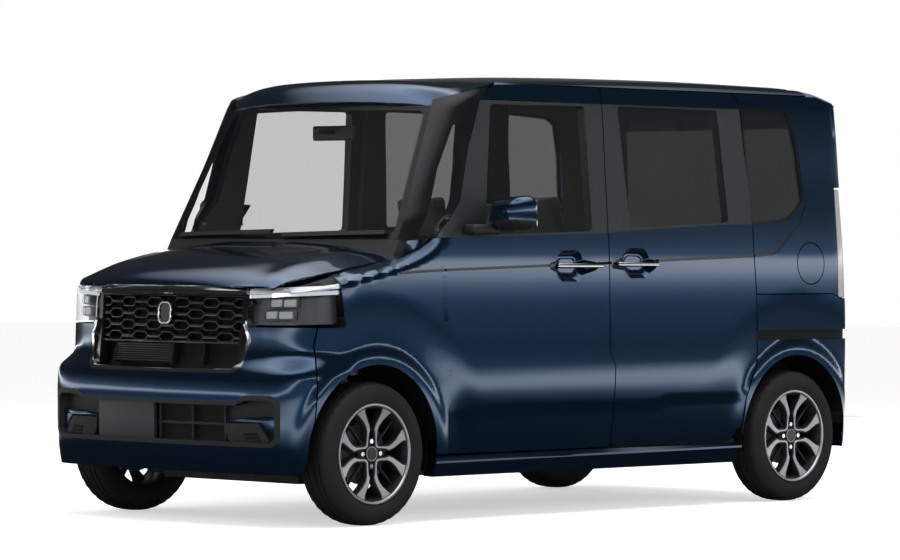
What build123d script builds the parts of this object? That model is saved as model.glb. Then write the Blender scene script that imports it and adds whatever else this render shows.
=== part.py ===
from build123d import *
from math import cos, radians, sin
import os

# A tall one-box kei car. The front faces -Y, the car's left flank faces +X and +Z is up.
# The origin is on the ground, at the middle of the bounding box.

os.makedirs("parts", exist_ok=True)

# ---------------------------------------------------------------- driving dimensions, mm
LENGTH = 3395
BODY_HALF_WIDTH = 737.5
HEIGHT = 1790
WHEELBASE = 2520
TRACK = 1305
FRONT_OVERHANG = 487
SHUT_GAP = 6  # between a door, lid or bonnet and the body round it
SEAT_GAP = 0.3  # between curved faces that meet
FRONT_Y = -LENGTH / 2
REAR_Y = LENGTH / 2
FRONT_AXLE_Y = FRONT_Y + FRONT_OVERHANG
REAR_AXLE_Y = FRONT_AXLE_Y + WHEELBASE

# Wheels and tyres
TYRE_RADIUS = 278
TYRE_WIDTH = 155
BEAD_RADIUS = 177
RIM_LIP_RADIUS = 194
RIM_WIDTH = 148
RIM_WALL = 7
SPOKE_END_RADIUS = 172
SPOKE_PAIR_ANGLE = 21  # half the angle between the two spokes beside a wheel nut
HUB_RADIUS = 66
DISC_RADIUS = 128
DISC_THICKNESS = 18
ARCH_RADIUS = 338
ARCH_RISE = 6  # the arch centre lies this far above the wheel centre
WHEEL_HOUSE_INNER_X = 395
REAR_HOUSE_INNER_X = 520

KINGPIN_X = 560

# Shell
SILL_Z = 180
DOOR_WALL = 92
FRAME_WALL = 46
ROOF_WALL = 30
NOSE_WALL = 26
BONNET_WALL = 24
GLASS = 5
FLOOR_Z = 235
FLOOR_WALL = 30

# Screen and bonnet
SCREEN_FOOT_Y = -1110
SCREEN_FOOT_Z = 1085
SCREEN_SLOPE = 62.9
SCREEN_BOW_RADIUS = 2783
BONNET_HINGE_Y = -1140
BONNET_HINGE_Z = 1078
BONNET_EDGE_Z = 930
BONNET_SIDE = ((600, -1540), (640, -1400), (664, -1200), (652, -1062), (500, -1092), (300, -1122))
BELT_Z = 1112

# Doors, side view (y, z)
DOOR_FRONT_SEAM = ((-794, 262), (-804, 414), (-809, 750), (-821, 977), (-826, 1112))
DOOR_FRAME_FRONT = ((-693, 1259), (-637, 1457), (-551, 1663), (-487, 1705))
B_SEAM_Y = 159
DOOR_TOP_Z = 1716
DOOR_BOTTOM_Z = 266
FRONT_DOOR_HINGE_X = 735
FRONT_DOOR_HINGE_Y = -806
SLIDING_REAR_SEAM = (
    (1040, 1180),
    (1040, 1041),
    (1054, 856),
    (1058, 646),
    (1046, 575),
    (980, 446),
    (966, 353),
    (898, 272),
)

# Tailgate
TAILGATE_HALF_WIDTH = 622
TAILGATE_SEAM_Y = 1426
TAILGATE_SILL_Z = 560
TAILGATE_WALL = 52

SIDES = ((1, "left"), (-1, "right"))


# ---------------------------------------------------------------- outlines and slabs
def outline(points, grow=0):
    """A closed straight-sided sketch, with every side moved outwards by grow."""
    with BuildSketch(mode=Mode.PRIVATE) as drawn:
        with BuildLine():
            Polyline(*points, close=True)
        make_face()
        if grow:
            offset(amount=grow, kind=Kind.INTERSECTION)
    return drawn.sketch


def side_slab(points, x_from, x_to):
    """A slab across the car between two x, from an outline of (y, z) points."""
    with BuildPart(mode=Mode.PRIVATE) as slab:
        with BuildSketch(Plane.YZ.offset(x_from)):
            add(outline(points))
        extrude(amount=x_to - x_from)
    return slab.part


def plan_slab(points, z_from, z_to):
    """An upright slab between two heights, from an outline of (x, y) points."""
    with BuildPart(mode=Mode.PRIVATE) as slab:
        with BuildSketch(Plane.XY.offset(z_from)):
            add(outline(points))
        extrude(amount=z_to - z_from)
    return slab.part


def across(y):
    """A plane across the car, with X to the left of the car and Z up."""
    return Plane(origin=(0, y, 0), x_dir=(1, 0, 0), z_dir=(0, -1, 0))


def front_slab(points, y_from, y_to):
    """A lengthwise slab between two y, from an outline of (x, z) points."""
    with BuildPart(mode=Mode.PRIVATE) as slab:
        with BuildSketch(across(y_to)):
            add(outline(points))
        extrude(amount=y_to - y_from)
    return slab.part


def block(x_low, x_high, y_low, y_high, z_low, z_high):
    """A rectangular block between opposite corners."""
    centre = ((x_low + x_high) / 2, (y_low + y_high) / 2, (z_low + z_high) / 2)
    return Pos(*centre) * Box(x_high - x_low, y_high - y_low, z_high - z_low, mode=Mode.PRIVATE)


def cross_rod(radius, x_from, x_to, y, z):
    """A round bar along X."""
    rod = Cylinder(radius, abs(x_to - x_from), mode=Mode.PRIVATE)
    return Pos((x_from + x_to) / 2, y, z) * Rot(0, 90, 0) * rod


def handed(solid, side):
    """The solid for the left side, or its mirror image for the right one."""
    piece = solid if side == 1 else mirror(solid, about=Plane.YZ)
    return Part() + piece.solids()


def save(part, name):
    """Label a sub-part and write its STEP file."""
    part.label = name
    export_step(part, f"parts/{name}.step")


# ---------------------------------------------------------------- body surfaces
SILL_X = 700
WAIST_X = 735.5
BELT_X = 726
RAIL_X = 672
RAIL_Z = 1724
CROWN_Y = 900  # where the roof is highest
CROWN_RADIUS = 25400  # the roof's lengthwise arc
ROOF_EDGE_X = 628
ROOF_EDGE_DROP = 36


def roof_form(inset):
    """Everything below the roof, whose section is swung round a far axis under the car."""
    top = HEIGHT - inset
    edge_z = top - ROOF_EDGE_DROP
    shoulder_z = RAIL_Z - inset
    with BuildPart(mode=Mode.PRIVATE) as form:
        with BuildSketch(across(CROWN_Y)):
            with BuildLine():
                ThreePointArc((-ROOF_EDGE_X, edge_z), (0, top), (ROOF_EDGE_X, edge_z))
                for side in (1, -1):
                    rail = (side * (RAIL_X + 6), shoulder_z)
                    Line((side * ROOF_EDGE_X, edge_z), rail)
                    Line(rail, (side * (RAIL_X + 90), shoulder_z - 90))
                    Line((side * (RAIL_X + 90), shoulder_z - 90), (side * (RAIL_X + 90), -200))
                Line((-RAIL_X - 90, -200), (RAIL_X + 90, -200))
            make_face()
        swing_axis = Axis((0, CROWN_Y, HEIGHT - CROWN_RADIUS), (1, 0, 0))
        revolve(axis=swing_axis, revolution_arc=6)
        revolve_back = mirror(form.part, about=Plane.XZ.offset(-CROWN_Y), mode=Mode.PRIVATE)
        add(revolve_back)
    return form.part


def cabin_form(low_wall, high_wall, roof_wall, floor_z):
    """The cabin's closed form, inset by its walls: bowed flanks under an arched roof."""
    half = (
        (SILL_X - low_wall, floor_z),
        (WAIST_X - 4 - low_wall, 450),
        (BODY_HALF_WIDTH - low_wall, 640),
        (WAIST_X - low_wall, 860),
        (BELT_X - low_wall, BELT_Z),
        (711 - high_wall, 1340),
        (RAIL_X - high_wall, RAIL_Z),
    )
    with BuildPart(mode=Mode.PRIVATE) as form:
        with BuildSketch(across(1800)):
            with BuildLine():
                for side in (1, -1):
                    sill, low, waist, high, belt, pane, rail = [(side * px, pz) for px, pz in half]
                    Line((0, floor_z), sill)
                    ThreePointArc(sill, low, waist)
                    ThreePointArc(waist, high, belt)
                    ThreePointArc(belt, pane, rail)
                    Line(rail, (side * (RAIL_X - high_wall - 26), 1860))
                Line((RAIL_X - high_wall - 26, 1860), (-RAIL_X + high_wall + 26, 1860))
            make_face()
        extrude(amount=3000)
        add(roof_form(roof_wall), mode=Mode.INTERSECT)
    return form.part


def screen_body(inset):
    """Everything behind the windscreen's surface, moved inwards by inset."""
    slope = radians(SCREEN_SLOPE)
    along = Vector(0, cos(slope), sin(slope))
    inward = Vector(0, sin(slope), -cos(slope))
    foot = Vector(0, SCREEN_FOOT_Y, SCREEN_FOOT_Z) + inward * SCREEN_BOW_RADIUS
    base = foot - along * 2200
    with BuildPart(mode=Mode.PRIVATE) as behind:
        with BuildSketch(Plane(origin=base, x_dir=(1, 0, 0), z_dir=along)):
            Circle(SCREEN_BOW_RADIUS - inset)
        extrude(amount=4400)
    return behind.part


def tail_body(inset):
    """Everything in front of the tail's surface, moved inwards by inset."""
    with BuildPart(mode=Mode.PRIVATE) as ahead:
        with BuildSketch(Plane.YZ.offset(-900)):
            with BuildLine():
                Polyline((REAR_Y - 8 - inset, 100), (-1800, 100), (-1800, 2000), (1560 - inset, 2000))
                Line((1560 - inset, 2000), (1602 - inset, 1649))
                ThreePointArc((1602 - inset, 1649), (1664 - inset, 1210), (1690 - inset, 852))
                Line((1690 - inset, 852), (REAR_Y - inset, 640))
                Line((REAR_Y - inset, 640), (REAR_Y - inset, 330))
                Line((REAR_Y - inset, 330), (REAR_Y - 8 - inset, 100))
            make_face()
        extrude(amount=1800)
    return ahead.part


def plan_body(inset, rear_radius):
    """The car's outline seen from above: a bowed front, round corners and a flat tail."""
    half = BODY_HALF_WIDTH - inset
    front = FRONT_Y + inset
    rear = REAR_Y - inset
    with BuildPart(mode=Mode.PRIVATE) as upright:
        with BuildSketch(Plane.XY):
            with BuildLine():
                for side in (1, -1):
                    corner = (side * (half - 108), front + 62)
                    shoulder = (side * half, front + 360)
                    Line((side * half, rear), (side * half, shoulder[1]))
                    ThreePointArc(shoulder, (side * (half - 30), front + 165), corner)
                ThreePointArc(corner, (0, front), (-corner[0], corner[1]))
                Line((-half, rear), (half, rear))
            make_face()
            rear_corners = [v for v in vertices() if v.Y > REAR_Y - inset - 1]
            fillet(rear_corners, rear_radius)
        extrude(amount=HEIGHT + 200)
    return upright.part


def nose_form(inset, floor_z=SILL_Z):
    """The closed form of bonnet, wings and nose, moved inwards by inset."""
    crown_start_z = SCREEN_FOOT_Z + 6
    with BuildPart(mode=Mode.PRIVATE) as form:
        with BuildSketch(Plane.YZ.offset(-900)):
            with BuildLine():
                Polyline(
                    (-700, floor_z),
                    (FRONT_Y + 40 + inset, floor_z),
                    (FRONT_Y + 4 + inset, 300),
                    (FRONT_Y + inset, 480),
                    (FRONT_Y + 20 + inset, 700),
                    (FRONT_Y + 52 + inset, 905),
                )
                ThreePointArc(
                    (FRONT_Y + 52 + inset, 905),
                    (FRONT_Y + 80 + inset, 975 - inset),
                    (FRONT_Y + 175 + inset, 1010 - inset),
                )
                ThreePointArc(
                    (FRONT_Y + 175 + inset, 1010 - inset),
                    (-1330, 1056 - inset),
                    (-1060, crown_start_z - inset),
                )
                Polyline((-1060, crown_start_z - inset), (-700, crown_start_z - inset), (-700, floor_z))
            make_face()
        extrude(amount=1800)
        with BuildSketch(across(-700)):
            with BuildLine():
                for side in (1, -1):
                    sill = (side * (SILL_X - inset), floor_z)
                    waist = (side * (BODY_HALF_WIDTH - inset), 640)
                    low = (side * (WAIST_X - 4 - inset), 450)
                    edge = (side * (722 - inset), 985 - inset)
                    brow = (side * (650 - inset), 1056 - inset)
                    Line((0, sill[1]), sill)
                    ThreePointArc(sill, low, waist)
                    Line(waist, edge)
                    ThreePointArc(edge, (side * (704 - inset), 1034 - inset), brow)
                ThreePointArc(brow, (0, crown_start_z + 6 - inset), (-brow[0], brow[1]))
            make_face()
        extrude(amount=1100, mode=Mode.INTERSECT)
        add(plan_body(inset, 60), mode=Mode.INTERSECT)
    return form.part


outer_cabin = cabin_form(0, 0, 0, SILL_Z) & screen_body(0) & tail_body(0) & plan_body(0, 60)
inner_cabin = (
    cabin_form(DOOR_WALL, FRAME_WALL, ROOF_WALL, SILL_Z - 60)
    & screen_body(40)
    & tail_body(TAILGATE_WALL)
    & plan_body(TAILGATE_WALL, 40)
)
outer_nose = nose_form(0)
inner_nose = nose_form(NOSE_WALL, SILL_Z - 60)

# Wheel arches, cut through the flanks
arch_z = TYRE_RADIUS + ARCH_RISE
arch_cuts = [
    cross_rod(ARCH_RADIUS, side * 380, side * 800, axle_y, arch_z)
    for side, _ in SIDES
    for axle_y in (FRONT_AXLE_Y, REAR_AXLE_Y)
]


liner_space = [
    cross_rod(ARCH_RADIUS + 9, side * 380, side * 706, FRONT_AXLE_Y, arch_z)
    for side, _ in SIDES
]

outer_shell = outer_cabin - inner_cabin
nose_shell = outer_nose - inner_nose

# ---------------------------------------------------------------- roof
SIDE_INNER_X = 560
WINDSCREEN_CORNERS = ((662, 1104), (584, 1652), (-584, 1652), (-662, 1104))
windscreen_cut = front_slab(WINDSCREEN_CORNERS, -1300, -600)
roof_zone = block(-SIDE_INNER_X, SIDE_INNER_X, -1000, TAILGATE_SEAM_Y - SHUT_GAP, 1600, 1900)
roof_solid = (outer_cabin & roof_zone) - windscreen_cut - inner_cabin
save(Part() + roof_solid.solids(), "roof")

# ---------------------------------------------------------------- outlines that cut the shell
g = SHUT_GAP
front_door_outline = DOOR_FRONT_SEAM + DOOR_FRAME_FRONT + (
    (-440, DOOR_TOP_Z),
    (B_SEAM_Y - g / 2, DOOR_TOP_Z),
    (B_SEAM_Y - g / 2, DOOR_BOTTOM_Z),
)
sliding_door_outline = (
    (B_SEAM_Y + g / 2, DOOR_BOTTOM_Z),
    (B_SEAM_Y + g / 2, DOOR_TOP_Z),
    (940, DOOR_TOP_Z),
    (974, 1690),
    (997, 1640),
    (1020, 1400),
) + SLIDING_REAR_SEAM
front_window_outline = ((-567, 1128), (-496, 1640), (60, 1645), (72, 1134))
sliding_window_outline = ((290, 1152), (250, 1648), (856, 1648), (897, 1176))
front_quarter_outline = (
    (-918, 1136),
    (-838, 1136),
    (-726, 1296),
    (-678, 1552),
    (-692, 1552),
    (-788, 1395),
)
rear_quarter_outline = ((1076, 1190), (1012, 1648), (1286, 1640), (1318, 1610), (1384, 1290), (1290, 1204))


def side_cut(points, amount, x_from=622, x_to=800):
    """A cutting slab for the left flank from an outline grown by amount."""
    with BuildPart(mode=Mode.PRIVATE) as cut:
        with BuildSketch(Plane.YZ.offset(x_from)):
            add(outline(points, amount))
        extrude(amount=x_to - x_from)
    return cut.part


def wrap_glass(points, amount=0):
    """A pane that follows the left flank just inside its surface."""
    skin = Pos(-4, 0, 0) * outer_cabin - Pos(-4 - GLASS, 0, 0) * outer_cabin
    return skin & side_cut(points, amount - SEAT_GAP)


# ---------------------------------------------------------------- front doors
HANDLE_Z = 1004
HANDLE_LENGTH = 210
HANDLE_HEIGHT = 24
HANDLE_X = 737
CUP_RADIUS = 90  # of the ball that presses the finger cup
CUP_DEPTH = 13


def finger_cup(y):
    """The ball that presses a finger cup into the left flank behind a door handle."""
    return Pos(HANDLE_X - 6 + CUP_RADIUS - CUP_DEPTH, y, HANDLE_Z) * Sphere(CUP_RADIUS, mode=Mode.PRIVATE)


def door_handle(y):
    """A flat pull bar that bridges its finger cup."""
    with BuildPart(mode=Mode.PRIVATE) as bar:
        with BuildSketch(Plane.YZ.offset(HANDLE_X)):
            with Locations((y, HANDLE_Z)):
                RectangleRounded(HANDLE_LENGTH, HANDLE_HEIGHT, 10)
        extrude(amount=-15)
    return bar.part


front_door_solid = (
    (outer_shell & side_cut(front_door_outline, 0))
    - side_cut(front_window_outline, 0)
    - finger_cup(-55)
    + door_handle(-55)
)
front_glass_solid = wrap_glass(front_window_outline)

MIRROR_REAR_Y = -508
MIRROR_X = 842
MIRROR_Z = 1208
with BuildPart() as mirror_shape:
    with BuildSketch(Plane.XZ.offset(-MIRROR_REAR_Y)):
        with Locations((MIRROR_X, MIRROR_Z)):
            RectangleRounded(182, 138, 42)
    extrude(amount=125, taper=8)
    with BuildSketch(Plane.YZ.offset(715)):
        with Locations((MIRROR_REAR_Y - 130, MIRROR_Z - 56)):
            RectangleRounded(100, 40, 12)
    extrude(amount=60)
mirror_solid = mirror_shape.part - Pos(0.3, 0, 0) * outer_cabin

for side, side_name in SIDES:
    for solid, name in (
        (front_door_solid, "front_door"),
        (front_glass_solid, "front_door_glass"),
        (mirror_solid, "door_mirror"),
    ):
        save(handed(solid, side), f"{name}_{side_name}")

# ---------------------------------------------------------------- sliding doors and fixed side glass
with BuildPart() as sliding_doors:
    add(outer_shell & side_cut(sliding_door_outline, 0))
    add(side_cut(sliding_window_outline, 0), mode=Mode.SUBTRACT)
    add(finger_cup(294), mode=Mode.SUBTRACT)
    add(door_handle(294))
    mirror(about=Plane.YZ)
save(sliding_doors.part, "sliding_doors")

with BuildPart() as side_glass:
    for window in (sliding_window_outline, front_quarter_outline, rear_quarter_outline):
        add(wrap_glass(window))
    mirror(about=Plane.YZ)
save(side_glass.part, "side_glass")

# ---------------------------------------------------------------- body sides
FLOOR_EDGE_X = 575
FUEL_LID_Y = 1408
FUEL_LID_Z = 1010
FUEL_LID_RADIUS = 86
SLIDE_RAIL_Z = 717

tailgate_cut = block(
    -TAILGATE_HALF_WIDTH - g, TAILGATE_HALF_WIDTH + g, TAILGATE_SEAM_Y - g, 1800, TAILGATE_SILL_Z, 1900
)
side_arch_cut = cross_rod(ARCH_RADIUS, 380, 800, REAR_AXLE_Y, arch_z)
fuel_lid_bore = cross_rod(FUEL_LID_RADIUS + SHUT_GAP, 715, 800, FUEL_LID_Y, FUEL_LID_Z)
fuel_lid_cup = cross_rod(FUEL_LID_RADIUS - 20, 668, 800, FUEL_LID_Y, FUEL_LID_Z)
rear_lower = block(400, 800, 900, 1800, 100, SLIDE_RAIL_Z)
front_lower = block(400, 800, -1300, -760, 100, 1104)
side_lamp_cut = block(TAILGATE_HALF_WIDTH + g - 1, 800, 1589, 1800, 859, 1331)
PILLAR_OUTER_X = 634
WING_FLANGE_Y = (-850, -832)

pillar_zone = block(SIDE_INNER_X, 720, B_SEAM_Y - 45, B_SEAM_Y + 45, SILL_Z + 20, 1800)
pillar_head = block(SIDE_INNER_X, 616, B_SEAM_Y - 45, B_SEAM_Y + 45, 1680, 1742)
hinge_pillar_head = block(600, 706, -880, -838, 1097, 1124) & outer_cabin
pillar = (Pos(-8, 0, 0) * inner_cabin & pillar_zone) - Pos(-44, 0, 0) * inner_cabin + pillar_head

with BuildPart() as side_solid:
    add(outer_shell & block(SIDE_INNER_X, 800, -1300, 1800, 100, 1900))
    for window in (front_quarter_outline, rear_quarter_outline):
        add(side_cut(window, 0), mode=Mode.SUBTRACT)
    for door in (front_door_outline, sliding_door_outline):
        add(side_cut(door, g), mode=Mode.SUBTRACT)
    add(windscreen_cut, mode=Mode.SUBTRACT)
    add(tailgate_cut, mode=Mode.SUBTRACT)
    add(rear_lower, mode=Mode.SUBTRACT)
    add(front_lower, mode=Mode.SUBTRACT)
    add(pillar)
    add(side_lamp_cut, mode=Mode.SUBTRACT)
    add(block(600, 800, -2000, 1042, 100, DOOR_BOTTOM_Z + 4), mode=Mode.SUBTRACT)
    add(block(FLOOR_EDGE_X, PILLAR_OUTER_X, -856, 950, SILL_Z + 20, DOOR_FRONT_SEAM[0][1] - g))
    add(block(FLOOR_EDGE_X, PILLAR_OUTER_X, -856, WING_FLANGE_Y[1], SILL_Z + 20, 1120))
    add(hinge_pillar_head)
side_left = side_solid.part - fuel_lid_bore - fuel_lid_cup - side_arch_cut

with BuildPart() as body_sides:
    add(side_left)
    mirror(about=Plane.YZ)
save(body_sides.part, "body_sides")

with BuildPart() as fuel_lid:
    add(outer_cabin & cross_rod(FUEL_LID_RADIUS, 722, 800, FUEL_LID_Y, FUEL_LID_Z))
save(fuel_lid.part, "fuel_lid")

with BuildPart() as windscreen:
    add(outer_cabin & screen_body(4))
    add(screen_body(4 + GLASS), mode=Mode.SUBTRACT)
    add(front_slab(WINDSCREEN_CORNERS, -1300, -600), mode=Mode.INTERSECT)
save(windscreen.part, "windscreen")

# ---------------------------------------------------------------- tailgate
TAIL_WINDOW = ((560, 1140), (520, 1600), (-520, 1600), (-560, 1140))
with BuildPart() as tailgate:
    add(outer_cabin - tail_body(TAILGATE_WALL))
    add(
        block(-TAILGATE_HALF_WIDTH, TAILGATE_HALF_WIDTH, 1300, 1800, TAILGATE_SILL_Z + g, 1690),
        mode=Mode.INTERSECT,
    )
    add(front_slab(TAIL_WINDOW, 1300, 1800), mode=Mode.SUBTRACT)
save(tailgate.part, "tailgate")

with BuildPart() as tailgate_glass:
    add(tail_body(4) - tail_body(4 + GLASS))
    add(front_slab(TAIL_WINDOW, 1300, 1800), mode=Mode.INTERSECT)
save(tailgate_glass.part, "tailgate_glass")

with BuildPart() as roof_spoiler:
    with BuildSketch(Plane.YZ.offset(-TAILGATE_HALF_WIDTH)):
        with BuildLine():
            Polyline((TAILGATE_SEAM_Y, 1690.3), (TAILGATE_SEAM_Y, 1788))
            ThreePointArc((TAILGATE_SEAM_Y, 1788), (1560, 1770), (1662, 1738))
            Polyline((1662, 1738), (1660, 1690.3), (TAILGATE_SEAM_Y, 1690.3))
        make_face()
    extrude(amount=2 * TAILGATE_HALF_WIDTH)
    add(roof_form(0), mode=Mode.INTERSECT)
save(roof_spoiler.part, "roof_spoiler")

with BuildPart() as tail_lamps:
    add(block(TAILGATE_HALF_WIDTH + g, 800, 1590, 1800, 860, 1330))
    add(outer_cabin, mode=Mode.INTERSECT)
    mirror(about=Plane.YZ)
save(tail_lamps.part, "tail_lamps")

tail_ring = outer_shell & block(-800, 800, 900, 1800, 100, SLIDE_RAIL_Z - 4)
with BuildPart() as rear_bumper:
    add(tail_ring)
    add(side_cut(sliding_door_outline, g, 560, 800), mode=Mode.SUBTRACT)
    add(mirror(side_cut(sliding_door_outline, g, 560, 800), about=Plane.YZ), mode=Mode.SUBTRACT)
    add(tailgate_cut, mode=Mode.SUBTRACT)
    for cut in arch_cuts:
        add(cut, mode=Mode.SUBTRACT)
    for side, _ in SIDES:
        liner_seat = cross_rod(ARCH_RADIUS + 8 + SEAT_GAP, side * 500, side * 607, REAR_AXLE_Y, arch_z)
        add(liner_seat, mode=Mode.SUBTRACT)
    add(block(-900, 900, 0, 1040, 0, 271), mode=Mode.SUBTRACT)
save(rear_bumper.part, "rear_bumper")

# ---------------------------------------------------------------- bonnet, wings and nose
BUMPER_SIDE = ((-1485, 776), (-1497, 700), (-1520, 480), (-1530, 100))
LAMP_TOP_Z = 925
LAMP_FOOT_Z = 771
LAMP_INNER_X = 436
LAMP_REAR_Y = -1372
bonnet_plan = (
    BONNET_SIDE
    + ((0, -1138),)
    + tuple((-x, y) for x, y in reversed(BONNET_SIDE))
    + ((-500, -1800), (500, -1800))
)
bonnet_space = plan_slab(bonnet_plan, BONNET_EDGE_Z, 1200)
with BuildPart() as bonnet:
    add(outer_nose - nose_form(BONNET_WALL))
    add(bonnet_space, mode=Mode.INTERSECT)
save(bonnet.part, "bonnet")

with BuildPart() as bonnet_opening:
    with BuildSketch(Plane.XY.offset(BONNET_EDGE_Z - g)):
        add(outline(bonnet_plan, g))
    extrude(amount=300)

with BuildPart() as wings:
    add(nose_shell & block(500, 800, -1800, -700, 100, 1096))
    add(side_slab(BUMPER_SIDE + ((-1800, 100), (-1800, 776)), 400, 800), mode=Mode.SUBTRACT)
    add(block(400, 800, -1800, LAMP_REAR_Y, LAMP_FOOT_Z - 4, LAMP_TOP_Z + 40), mode=Mode.SUBTRACT)
    add(side_cut(front_door_outline, g, 400, 800), mode=Mode.SUBTRACT)
    add(block(400, 800, DOOR_FRONT_SEAM[0][0] - 12, 0, 100, 1200), mode=Mode.SUBTRACT)
    add(block(400, 800, -930, 0, 100, DOOR_FRONT_SEAM[0][1]), mode=Mode.SUBTRACT)
    add(block(400, 658, -1170, 0, 900, 1200), mode=Mode.SUBTRACT)
    add(bonnet_opening.part, mode=Mode.SUBTRACT)
    for cut in arch_cuts:
        add(cut, mode=Mode.SUBTRACT)
    add(outer_nose & block(PILLAR_OUTER_X + SEAT_GAP, 740, *WING_FLANGE_Y, 560, 950))
    mirror(about=Plane.YZ)
save(wings.part, "wings")

lamp_zone = block(LAMP_INNER_X + 1 + SEAT_GAP, 800, -1800, LAMP_REAR_Y - 2, LAMP_FOOT_Z, LAMP_TOP_Z + 36)
lamp_mask = outer_nose - nose_form(4)
with BuildPart() as headlamp_lenses:
    add(lamp_mask & lamp_zone)
    add(bonnet_opening.part, mode=Mode.SUBTRACT)
    mirror(about=Plane.YZ)
save(headlamp_lenses.part, "headlamp_lenses")

# Two lamp units sit one above the other in pockets, under a running-light bar
LAMP_UNITS = ((548, 812, 104, 30), (566, 860, 92, 30))
with BuildPart() as headlamps:
    add((nose_form(34) - nose_form(110, SILL_Z - 60)) & lamp_zone)
    with BuildPart(mode=Mode.SUBTRACT):
        with BuildSketch(across(-1300)):
            for x, z, width, height in LAMP_UNITS:
                with Locations((x, z)):
                    RectangleRounded(width, height, 8)
        extrude(amount=500)
        add(nose_form(64), mode=Mode.SUBTRACT)
    with BuildPart():
        with BuildSketch(across(-1300)):
            for x, z, width, height in LAMP_UNITS:
                for lens_x in (x - width / 4, x + width / 4):
                    with Locations((lens_x, z)):
                        RectangleRounded(width / 2 - 12, height - 8, 5)
        extrude(amount=500)
        add(nose_form(42) - nose_form(70, SILL_Z - 60), mode=Mode.INTERSECT)
    add((nose_form(22) - nose_form(36)) & block(440, 700, -1800, LAMP_REAR_Y - 30, 892, 912))
    add(bonnet_opening.part, mode=Mode.SUBTRACT)
    mirror(about=Plane.YZ)
save(headlamps.part, "headlamps")

GRILLE_OUTLINE = (
    (437, LAMP_TOP_Z + 5),
    (437, 771),
    (469, 722),
    (440, 610),
    (400, 585),
    (-400, 585),
    (-440, 610),
    (-469, 722),
    (-437, 771),
    (-437, LAMP_TOP_Z + 5),
)
LOWER_HALF = ((434, 481), (488, 506), (600, 506), (637, 482), (637, 334), (600, 308))
LOWER_OUTLINE = LOWER_HALF + tuple((-x, z) for x, z in reversed(LOWER_HALF))
grille_opening = front_slab(GRILLE_OUTLINE, -1800, -1500)
lower_opening = front_slab(LOWER_OUTLINE, -1800, -1500)

with BuildPart() as front_bumper:
    add(nose_shell & block(-800, 800, -1800, -1400, 100, LAMP_TOP_Z))
    add(side_slab(BUMPER_SIDE + ((-1300, 100), (-1300, 776)), -800, 800), mode=Mode.SUBTRACT)
    add(block(LAMP_INNER_X, 800, -1800, -1300, LAMP_FOOT_Z - 4, 1000), mode=Mode.SUBTRACT)
    add(block(-800, -LAMP_INNER_X, -1800, -1300, LAMP_FOOT_Z - 4, 1000), mode=Mode.SUBTRACT)
    add(grille_opening, mode=Mode.SUBTRACT)
    add(lower_opening, mode=Mode.SUBTRACT)
    for cut in arch_cuts + liner_space:
        add(cut, mode=Mode.SUBTRACT)
save(front_bumper.part, "front_bumper")

# The mesh: rows of flat six-sided rings linked by bars, each row half a pitch from the next
MESH_PITCH = 160
MESH_ROWS_Z = (855, 811, 767, 723)
RING_WIDTH = 104
RING_HEIGHT = 42
RING_WALL = 7
LINK_HEIGHT = 11
MESH_HALF_WIDTH = 416
LEDGE_Z = 703
SLATS_X = (-307, 34)
SLATS_Z = (624, 692)
SLAT_COUNT = 8
POCKET_X = (44, 392)
MESH_FRONT = 20  # insets from the nose's surface
MESH_BACK = 44
WEB_BACK = 50
CRATE_FRONT = 30
EMBLEM_Z = 816


def ring(width, height):
    """A flat six-sided outline with pointed ends, about its own middle."""
    tip = width / 2
    flat = tip - height * 0.55
    return outline(
        (
            (tip, 0),
            (flat, height / 2),
            (-flat, height / 2),
            (-tip, 0),
            (-flat, -height / 2),
            (flat, -height / 2),
        )
    )


with BuildPart() as mesh_ribs:
    with BuildSketch(across(-1500)):
        for row, z in enumerate(MESH_ROWS_Z):
            shift = MESH_PITCH / 2 if row % 2 == 0 else 0
            centres = [k * MESH_PITCH + shift for k in range(-3, 3 + row % 2)]
            with Locations((0, z)):
                Rectangle(2 * MESH_HALF_WIDTH, LINK_HEIGHT)
            with Locations([(x, z) for x in centres if abs(x) < MESH_HALF_WIDTH - 30]):
                add(ring(RING_WIDTH, RING_HEIGHT))
            with Locations([(x, z) for x in centres if abs(x) < MESH_HALF_WIDTH - 30]):
                add(ring(RING_WIDTH - 2.6 * RING_WALL, RING_HEIGHT - 2 * RING_WALL), mode=Mode.SUBTRACT)
        with Locations((0, LEDGE_Z)):
            Rectangle(2 * MESH_HALF_WIDTH, 8)
        with Locations((SLATS_X[1] / 2 + SLATS_X[0] / 2, SLATS_Z[0] / 2 + SLATS_Z[1] / 2)):
            with GridLocations(0, (SLATS_Z[1] - SLATS_Z[0]) / (SLAT_COUNT - 1), 1, SLAT_COUNT):
                Rectangle(SLATS_X[1] - SLATS_X[0], 4.5)
        for x in (*SLATS_X, *POCKET_X, sum(POCKET_X) / 2):
            with Locations((x, (SLATS_Z[0] + LEDGE_Z) / 2)):
                Rectangle(9, LEDGE_Z - SLATS_Z[0] + 20)
    extrude(amount=300)

mesh_space = front_slab(
    ((MESH_HALF_WIDTH, 884), (MESH_HALF_WIDTH, 690), (400, 612), (-400, 612), (-MESH_HALF_WIDTH, 690), (-MESH_HALF_WIDTH, 884)),
    -1800,
    -1500,
)
# The lower grille beside the number plate is an egg crate
CRATE_X = (10, 366)
CRATE_Z = (312, 462)
CRATE_BAR = 12
crate_space = block(*CRATE_X, -1800, -1500, *CRATE_Z)
for crate_bar in (
    block(*CRATE_X, -1800, -1500, 386, 386 + CRATE_BAR),
    block(182, 182 + CRATE_BAR, -1800, -1500, *CRATE_Z),
):
    crate_space -= crate_bar
pockets = (mesh_space - mesh_ribs.part + crate_space) - nose_form(MESH_BACK)

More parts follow.
